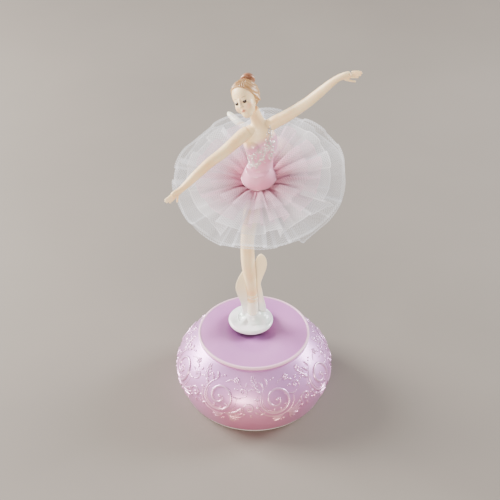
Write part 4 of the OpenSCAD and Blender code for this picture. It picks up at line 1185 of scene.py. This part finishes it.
# The scrollwork's paler mix is a painted highlight on the raised strokes.
scroll_highlight_paint = pearl_lacquer("pearl_scroll_highlight_paint", (0.78, 0.34, 0.42, 1), (0.86, 0.44, 0.50, 1),
    (0.78, 0.45, 0.74, 1), 0.28)
wear(base_skin, base_paint)
wear(scrollwork, scroll_highlight_paint)

# %% Satin lilac plate
plate_paint, tree, shader, place = new_material("lilac_plate_paint", Coat_Weight=0.25, Coat_Roughness=0.35)
lilac = use_group(tree, clouds, place.outputs["Object"], Size=30.0, Pigment=(0.45, 0.165, 0.43, 1),
    Second_pigment=(0.51, 0.20, 0.47, 1), Speckle=0.1)
split = tree.nodes.new("ShaderNodeSeparateXYZ")
tree.links.new(place.outputs["Object"], split.inputs[0])
flat = node(tree, "ShaderNodeCombineXYZ")
tree.links.new(split.outputs[0], flat.inputs[0])
tree.links.new(split.outputs[1], flat.inputs[1])
reach = node(tree, "ShaderNodeVectorMath", operation="LENGTH")
tree.links.new(flat.outputs[0], reach.inputs[0])
# A paler pink ring on the plate's rounded rim: a painted highlight where the rim catches the light.
rim_highlight = node(tree, "ShaderNodeMapRange", in_1=0.0338, in_2=0.0348)
tree.links.new(reach.outputs["Value"], rim_highlight.inputs[0])
tree.links.new(mix_colours(tree, rim_highlight.outputs[0], lilac.outputs["Colour"], (0.84, 0.52, 0.66, 1)),
    shader.inputs["Base Color"])
soft = node(tree, "ShaderNodeMapRange", in_3=0.38, in_4=0.5)
tree.links.new(lilac.outputs["Mottle"], soft.inputs[0])
tree.links.new(soft.outputs[0], shader.inputs["Roughness"])
bump(tree, shader, lilac.outputs["Grain"], 0.00004, 0.3)
wear(plate_skin, plate_paint)

# %% Pearl white for the disc and petals
pearl, tree, shader, place = new_material("pearl_white_paint", Coat_Weight=0.6, Coat_Roughness=0.2,
    Sheen_Weight=0.2)
milk = use_group(tree, clouds, place.outputs["Object"], Size=120.0, Pigment=(0.70, 0.82, 0.76, 1),
    Second_pigment=(0.94, 0.86, 0.90, 1), Speckle=0.15)
warm, _ = height_fade(tree, place, 0.054, 0.08)
tree.links.new(mix_colours(tree, warm, milk.outputs["Colour"], (1.0, 0.86, 0.54, 1)),
    shader.inputs["Base Color"])
spread = node(tree, "ShaderNodeMapRange", in_3=0.28, in_4=0.42)
tree.links.new(milk.outputs["Mottle"], spread.inputs[0])
tree.links.new(spread.outputs[0], shader.inputs["Roughness"])
bump(tree, shader, milk.outputs["Grain"], 0.00005, 0.3)
for piece in [disc_skin, petal_casting]:
    wear(piece, pearl)


# %% [markdown]
# ## Painted skin, slippers and face
# Figurine skin is a warm cream paint over resin, slightly waxy, a touch pinker where the sprayer
# lingered. The slippers are pearl white up to the ankle. The face's dark, brow, lip and blush masks
# were stored on the mesh, so the shader only has to mix in their colours.

# %% Skin paint
def skin_paint(name, extras=None, shoe=None):
    material, tree, shader, place = new_material(
        name, Coat_Weight=0.12, Coat_Roughness=0.3, Subsurface_Weight=0.18, Subsurface_Scale=0.0016,
        Subsurface_Radius=(1.0, 0.45, 0.25)
    )
    cream = use_group(tree, clouds, place.outputs["Object"], Size=70.0, Pigment=(0.95, 0.62, 0.31, 1),
        Second_pigment=(0.98, 0.78, 0.47, 1), Speckle=0.08)
    colour = cream.outputs["Colour"]
    if shoe:
        shod = shoe(tree, place)
        colour = mix_colours(tree, shod, colour, (0.96, 0.87, 0.70, 1))
    for mask, tone in extras or ():
        layer = node(tree, "ShaderNodeAttribute", attribute_name=mask)
        colour = mix_colours(tree, layer.outputs["Fac"], colour, tone)
    tree.links.new(colour, shader.inputs["Base Color"])
    spread = node(tree, "ShaderNodeMapRange", in_3=0.4, in_4=0.55)
    tree.links.new(cream.outputs["Mottle"], spread.inputs[0])
    tree.links.new(spread.outputs[0], shader.inputs["Roughness"])
    bump(tree, shader, cream.outputs["Grain"], 0.00003, 0.25)
    return material


def below_ankle(tree, place):
    fade, _ = height_fade(tree, place, 0.0655, 0.0665, 1.0, 0.0)
    return fade


def beyond_ankle(tree, place):
    split = tree.nodes.new("ShaderNodeSeparateXYZ")
    tree.links.new(place.outputs["Object"], split.inputs[0])
    fade = node(tree, "ShaderNodeMapRange", in_1=0.0695, in_2=0.0705)
    tree.links.new(split.outputs[1], fade.inputs[0])
    return fade.outputs[0]


wear(leg_casting, skin_paint("standing_leg_paint", shoe=below_ankle))
wear(raised_casting, skin_paint("raised_leg_paint", shoe=beyond_ankle))
arm_paint = skin_paint("arm_paint")
for arm in arms.values():
    wear(arm, arm_paint)
face_paint = skin_paint(
    "face_paint",
    extras=(("blush_paint", (0.90, 0.42, 0.20, 1)), ("lip_paint", (0.60, 0.24, 0.13, 1)),
        ("brow_paint", (0.30, 0.16, 0.08, 1)), ("dark_paint", (0.02, 0.01, 0.008, 1))),
)
wear(head_casting, face_paint)
for ribbon in ribbons:
    wear(ribbon, pearl)

# %% Moulded hair
def hair_paint(name, dark, light):
    material, tree, shader, place = new_material(name, Coat_Weight=0.25, Coat_Roughness=0.3, Roughness=0.42)
    brown = use_group(tree, clouds, place.outputs["Object"], Size=180.0, Pigment=dark, Second_pigment=light,
        Speckle=0.4)
    tree.links.new(brown.outputs["Colour"], shader.inputs["Base Color"])
    strands = node(tree, "ShaderNodeTexNoise")
    strands.inputs["Scale"].default_value = 1400.0
    stretch = node(tree, "ShaderNodeMapping")
    stretch.inputs["Scale"].default_value = (1.0, 0.25, 0.25)
    tree.links.new(place.outputs["Object"], stretch.inputs[0])
    tree.links.new(stretch.outputs[0], strands.inputs["Vector"])
    bump(tree, shader, strands.outputs[0], 0.0001, 0.5)
    return material


wear(hair_cap, hair_paint("golden_hair_paint", (0.36, 0.18, 0.06, 1), (0.58, 0.35, 0.15, 1)))
wear(bun, hair_paint("chestnut_bun_paint", (0.24, 0.09, 0.04, 1), (0.46, 0.21, 0.10, 1)))

# %% [markdown]
# ## The bodice
# Pink lacquer covers the torso up to a slanting neckline, and the same casting is painted skin above
# it. The slant is a plane through the object, and the pink fades out over about 4 mm. The lace is
# picked out in silver-white, and the rim in a paler pearl pink.

# %% Bodice paint with a slanting neckline
bodice, tree, shader, place = new_material("bodice_paint", Sheen_Weight=0.1)
rose = use_group(tree, clouds, place.outputs["Object"], Size=90.0, Pigment=(0.70, 0.28, 0.41, 1),
    Second_pigment=(0.77, 0.38, 0.52, 1), Speckle=0.1)
cream = use_group(tree, clouds, place.outputs["Object"], Size=70.0, Pigment=(0.95, 0.62, 0.31, 1),
    Second_pigment=(0.98, 0.78, 0.47, 1), Speckle=0.08)
slant = node(tree, "ShaderNodeVectorMath", operation="DOT_PRODUCT")
slant.inputs[1].default_value = (-0.49, 0.25, 1.0)
tree.links.new(place.outputs["Object"], slant.inputs[0])
above = node(tree, "ShaderNodeMapRange", in_1=0.1862, in_2=0.1904)
tree.links.new(slant.outputs["Value"], above.inputs[0])
tree.links.new(mix_colours(tree, above.outputs[0], rose.outputs["Colour"], cream.outputs["Colour"]),
    shader.inputs["Base Color"])
gloss = node(tree, "ShaderNodeMapRange", in_3=0.25, in_4=0.46)
tree.links.new(above.outputs[0], gloss.inputs[0])
tree.links.new(gloss.outputs[0], shader.inputs["Roughness"])
coat = node(tree, "ShaderNodeMapRange", in_3=0.7, in_4=0.1)
tree.links.new(above.outputs[0], coat.inputs[0])
tree.links.new(coat.outputs[0], shader.inputs["Coat Weight"])
bump(tree, shader, rose.outputs["Grain"], 0.00003, 0.25)
wear(torso, bodice)

# %% Silver-white for the lace, pearl pink for the rim
silver, tree, shader, place = new_material("silver_lace_paint", Metallic=0.45, Coat_Weight=0.3,
    Coat_Roughness=0.2)
frost = use_group(tree, clouds, place.outputs["Object"], Size=300.0, Pigment=(0.72, 0.62, 0.58, 1),
    Second_pigment=(0.98, 0.94, 0.92, 1), Speckle=0.3)
tree.links.new(frost.outputs["Colour"], shader.inputs["Base Color"])
shader.inputs["Roughness"].default_value = 0.25
bump(tree, shader, frost.outputs["Grain"], 0.00004, 0.4)
wear(lace, silver)
rim_paint = pearl_lacquer("rim_paint", (0.76, 0.36, 0.46, 1), (0.82, 0.46, 0.55, 1), (0.86, 0.5, 0.6, 1),
    0.25)
wear(rim, rim_paint)


# %% [markdown]
# ## Net materials
# Tulle is mostly holes. The net group turns the sheet's own flat coordinates into two crossing sets
# of threads and gives back how much of the light they stop. Colour fades from dusky pink at the
# waist to white at the hem: the pink layers are dyed and the outer ones aren't, and the darker, pinker
# colour near the waist of every layer is painted shade under the bodice and the layers above.

# %% Mix the net for each layer
def net_material(name, near, far, haze, thread, fade_from, fade_to, hem_at):
    material, tree, shader, place = new_material(name, Roughness=0.75, Sheen_Weight=0.35, Sheen_Roughness=0.4)
    weave = use_group(tree, net, place.outputs["UV"], Threads_per_mm=1.15, Thread=thread, Haze=haze)
    split = tree.nodes.new("ShaderNodeSeparateXYZ")
    tree.links.new(place.outputs["UV"], split.inputs[0])
    along = node(tree, "ShaderNodeMapRange", in_1=fade_from, in_2=fade_to)
    tree.links.new(split.outputs[1], along.inputs[0])
    # Near the waist the colour is darker and pinker: painted shade under the bodice and the layers above, on
    # top of the dye.
    tree.links.new(mix_colours(tree, along.outputs[0], near, far), shader.inputs["Base Color"])
    dense = node(tree, "ShaderNodeMapRange", in_1=0.0, in_2=14.0, in_3=2.6, in_4=1.0)
    tree.links.new(split.outputs[1], dense.inputs[0])
    stop = node(tree, "ShaderNodeMath", operation="MULTIPLY", use_clamp=True)
    tree.links.new(weave.outputs["Cover"], stop.inputs[0])
    tree.links.new(dense.outputs[0], stop.inputs[1])
    hem_edge = node(tree, "ShaderNodeMapRange", in_1=hem_at - 0.9, in_2=hem_at - 0.5, in_3=0.0, in_4=0.2)
    tree.links.new(split.outputs[1], hem_edge.inputs[0])
    covered = node(tree, "ShaderNodeMath", operation="ADD", use_clamp=True)
    tree.links.new(stop.outputs[0], covered.inputs[0])
    tree.links.new(hem_edge.outputs[0], covered.inputs[1])
    tree.links.new(covered.outputs[0], shader.inputs["Alpha"])
    bump(tree, shader, weave.outputs["Height"], 0.0001, 0.2)
    return material


white_net = net_material("white_net", (0.78, 0.64, 0.72, 1), (0.88, 0.90, 0.96, 1), 0.12, 0.48, 1.0, 14.0,
    41.6)
blush_net = net_material("blush_net", (0.72, 0.46, 0.55, 1), (0.94, 0.93, 0.97, 1), 0.27, 0.6, 1.5, 16.0,
    34.0)
pink_net = net_material("pink_net", (0.54, 0.21, 0.30, 1), (0.82, 0.58, 0.68, 1), 0.26, 0.6, 1.0, 17.0, 28.5)
for name, material in (
    ("long_net_under", white_net), ("long_net_top", white_net), ("middle_net", blush_net),
    ("pink_net_under", pink_net), ("pink_net_top", pink_net),
):
    wear(net_sheets[name], material)
ribbon_cloth, tree, shader, place = new_material("waistband_cloth", Roughness=0.6, Sheen_Weight=0.4)
dye = use_group(tree, clouds, place.outputs["Object"], Size=200.0, Pigment=(0.68, 0.34, 0.40, 1),
    Second_pigment=(0.78, 0.46, 0.52, 1), Speckle=0.3)
tree.links.new(dye.outputs["Colour"], shader.inputs["Base Color"])
bump(tree, shader, dye.outputs["Grain"], 0.0001, 0.4)
wear(waistband, ribbon_cloth)


# %% [markdown]
# ## The movement's metals and wood
# These parts keep the engineering shapes and only change their finish. Brass is warm and slightly
# tarnished, steel is brushed along its length, nylon is dull, and the sound board shows plywood
# grain.

# %% Metal finishes
def metal(name, colour, tarnish, low, high, stretch=(1, 1, 1), size=900.0):
    material, tree, shader, place = new_material(name, Metallic=1.0)
    brushed = use_group(tree, grain, place.outputs["Object"], Stretch=stretch, Size=size, Low=low, High=high)
    tree.links.new(mix_colours(tree, brushed.outputs["Tarnish"], colour, tarnish),
        shader.inputs["Base Color"])
    tree.links.new(brushed.outputs["Roughness"], shader.inputs["Roughness"])
    bump(tree, shader, brushed.outputs["Height"], 0.00003, 0.3)
    return material


finishes = {
    "brass": metal("turned_brass", (0.80, 0.56, 0.24, 1), (0.62, 0.40, 0.16, 1), 0.18, 0.38),
    "bedplate_metal": metal("gold_casting", (0.74, 0.56, 0.28, 1), (0.58, 0.42, 0.22, 1), 0.3, 0.5),
    "screw_steel": metal("zinc_plate", (0.62, 0.62, 0.65, 1), (0.50, 0.50, 0.52, 1), 0.22, 0.4),
    "comb_steel": metal("ground_steel", (0.66, 0.68, 0.72, 1), (0.50, 0.52, 0.56, 1), 0.15, 0.35,
        (0.1, 1, 1)),
    "bracket_steel": metal("stamped_steel", (0.64, 0.62, 0.56, 1), (0.50, 0.48, 0.44, 1), 0.28, 0.45,
        (1, 1, 0.2)),
    "arbor_steel": metal("turned_steel", (0.66, 0.66, 0.69, 1), (0.52, 0.52, 0.54, 1), 0.12, 0.3,
        (0.2, 0.2, 1)),
    "spring_steel": metal("blued_steel", (0.20, 0.26, 0.40, 1), (0.30, 0.30, 0.36, 1), 0.2, 0.4, (1, 1, 0.1)),
    "cast_block": metal("rough_casting", (0.30, 0.30, 0.32, 1), (0.22, 0.22, 0.23, 1), 0.4, 0.6, size=500.0),
}

# %% Wood, felt and nylon
wood, tree, shader, place = new_material("plywood_board", Coat_Weight=0.1)
stretch = node(tree, "ShaderNodeMapping")
stretch.inputs["Scale"].default_value = (1.0, 0.08, 1.0)
tree.links.new(place.outputs["Object"], stretch.inputs[0])
board = use_group(tree, clouds, stretch.outputs[0], Size=320.0, Pigment=(0.42, 0.25, 0.12, 1),
    Second_pigment=(0.56, 0.37, 0.20, 1), Speckle=0.5)
tree.links.new(board.outputs["Colour"], shader.inputs["Base Color"])
shader.inputs["Roughness"].default_value = 0.6
bump(tree, shader, board.outputs["Grain"], 0.0001, 0.5)
finishes["board_wood"] = wood
felt, tree, shader, place = new_material("dense_felt", Roughness=0.95, Sheen_Weight=0.5)
nap = use_group(tree, clouds, place.outputs["Object"], Size=400.0, Pigment=(0.70, 0.66, 0.64, 1),
    Second_pigment=(0.82, 0.78, 0.76, 1), Speckle=0.6)
tree.links.new(nap.outputs["Colour"], shader.inputs["Base Color"])
bump(tree, shader, nap.outputs["Grain"], 0.0003, 0.8)
finishes["felt"] = felt
nylon, tree, shader, place = new_material("moulded_nylon", Roughness=0.5, Subsurface_Weight=0.1,
    Subsurface_Scale=0.001)
milky = use_group(tree, clouds, place.outputs["Object"], Size=200.0, Pigment=(0.80, 0.77, 0.68, 1),
    Second_pigment=(0.86, 0.84, 0.76, 1), Speckle=0.2)
tree.links.new(milky.outputs["Colour"], shader.inputs["Base Color"])
bump(tree, shader, milky.outputs["Grain"], 0.00005, 0.3)
finishes["nylon"] = nylon

# %% Give each engineering part its finish
slots = {s["node"]: s["material_slot"] for s in frame["record"]["subparts"]}
finished = 0
for name, part in frame["nodes"].items():
    if slots.get(name) in finishes:
        for slot_holder in part.material_slots:
            slot_holder.material = finishes[slots[name]]
        if not part.material_slots:
            part.data.materials.append(finishes[slots[name]])
        finished += 1
print("engineering parts with a new finish:", finished)

# %% [markdown]
# ## Table, light and camera
# A plain pale table and large soft lights show the pearl and the net. The big light stands high on
# the left and a little behind, as daylight from a window would, and a second one on the right puts
# the paler sheen on the other shoulder.

# %% Table
floor = piece_from("table_top", [(-1500, -1500, 0), (1500, -1500, 0), (1500, 1500, 0), (-1500, 1500, 0)],
    [(0, 1, 2, 3)])
table_paint, tree, shader, place = new_material("pale_table", Roughness=0.7)
dust = use_group(tree, clouds, place.outputs["Object"], Size=3.0, Pigment=(0.17, 0.148, 0.126, 1),
    Second_pigment=(0.20, 0.174, 0.148, 1), Speckle=0.02)
tree.links.new(dust.outputs["Colour"], shader.inputs["Base Color"])
wear(floor, table_paint)


# %% Lights
def softbox(name, place, target, size, power, colour=(1, 1, 1)):
    data = bpy.data.lights.new(name, "AREA")
    data.shape = "RECTANGLE"
    data.size, data.size_y = size
    data.energy = power
    data.color = colour
    lamp = bpy.data.objects.new(name, data)
    bpy.context.collection.objects.link(lamp)
    lamp.location = Vector(place)
    lamp.rotation_mode = "QUATERNION"
    lamp.rotation_quaternion = (Vector(target) - Vector(place)).to_track_quat("-Z", "Y")
    return lamp


softbox("window_left", (-0.85, 0.36, 0.52), (0, 0, 0.08), (0.55, 0.55), 42.0, (1.0, 0.98, 0.95))
softbox("window_right", (0.85, 0.34, 0.46), (0, 0, 0.06), (0.4, 0.4), 20.0, (0.97, 0.98, 1.0))
softbox("front_fill", (-0.25, -1.05, 0.34), (0, 0, 0.1), (0.5, 0.3), 15.0, (1.0, 0.86, 0.72))
world = bpy.data.worlds.new("studio")
bpy.context.scene.world = world
world.use_nodes = True
world.node_tree.nodes["Background"].inputs[0].default_value = (0.93, 0.95, 1.0, 1)
world.node_tree.nodes["Background"].inputs[1].default_value = 0.48

# %% Camera
lens = bpy.data.cameras.new("camera")
lens.lens = 99.94
lens.sensor_width = 36
lens.clip_start, lens.clip_end = 0.05, 20
camera = bpy.data.objects.new("camera", lens)
bpy.context.collection.objects.link(camera)
aim = Vector((-0.00254, 0, 0.1113))
rise = math.radians(37.72)
camera.location = aim + Vector((0, -math.cos(rise), math.sin(rise))) * 0.85
camera.rotation_mode = "QUATERNION"
camera.rotation_quaternion = (aim - camera.location).to_track_quat("-Z", "Y")
bpy.context.scene.camera = camera
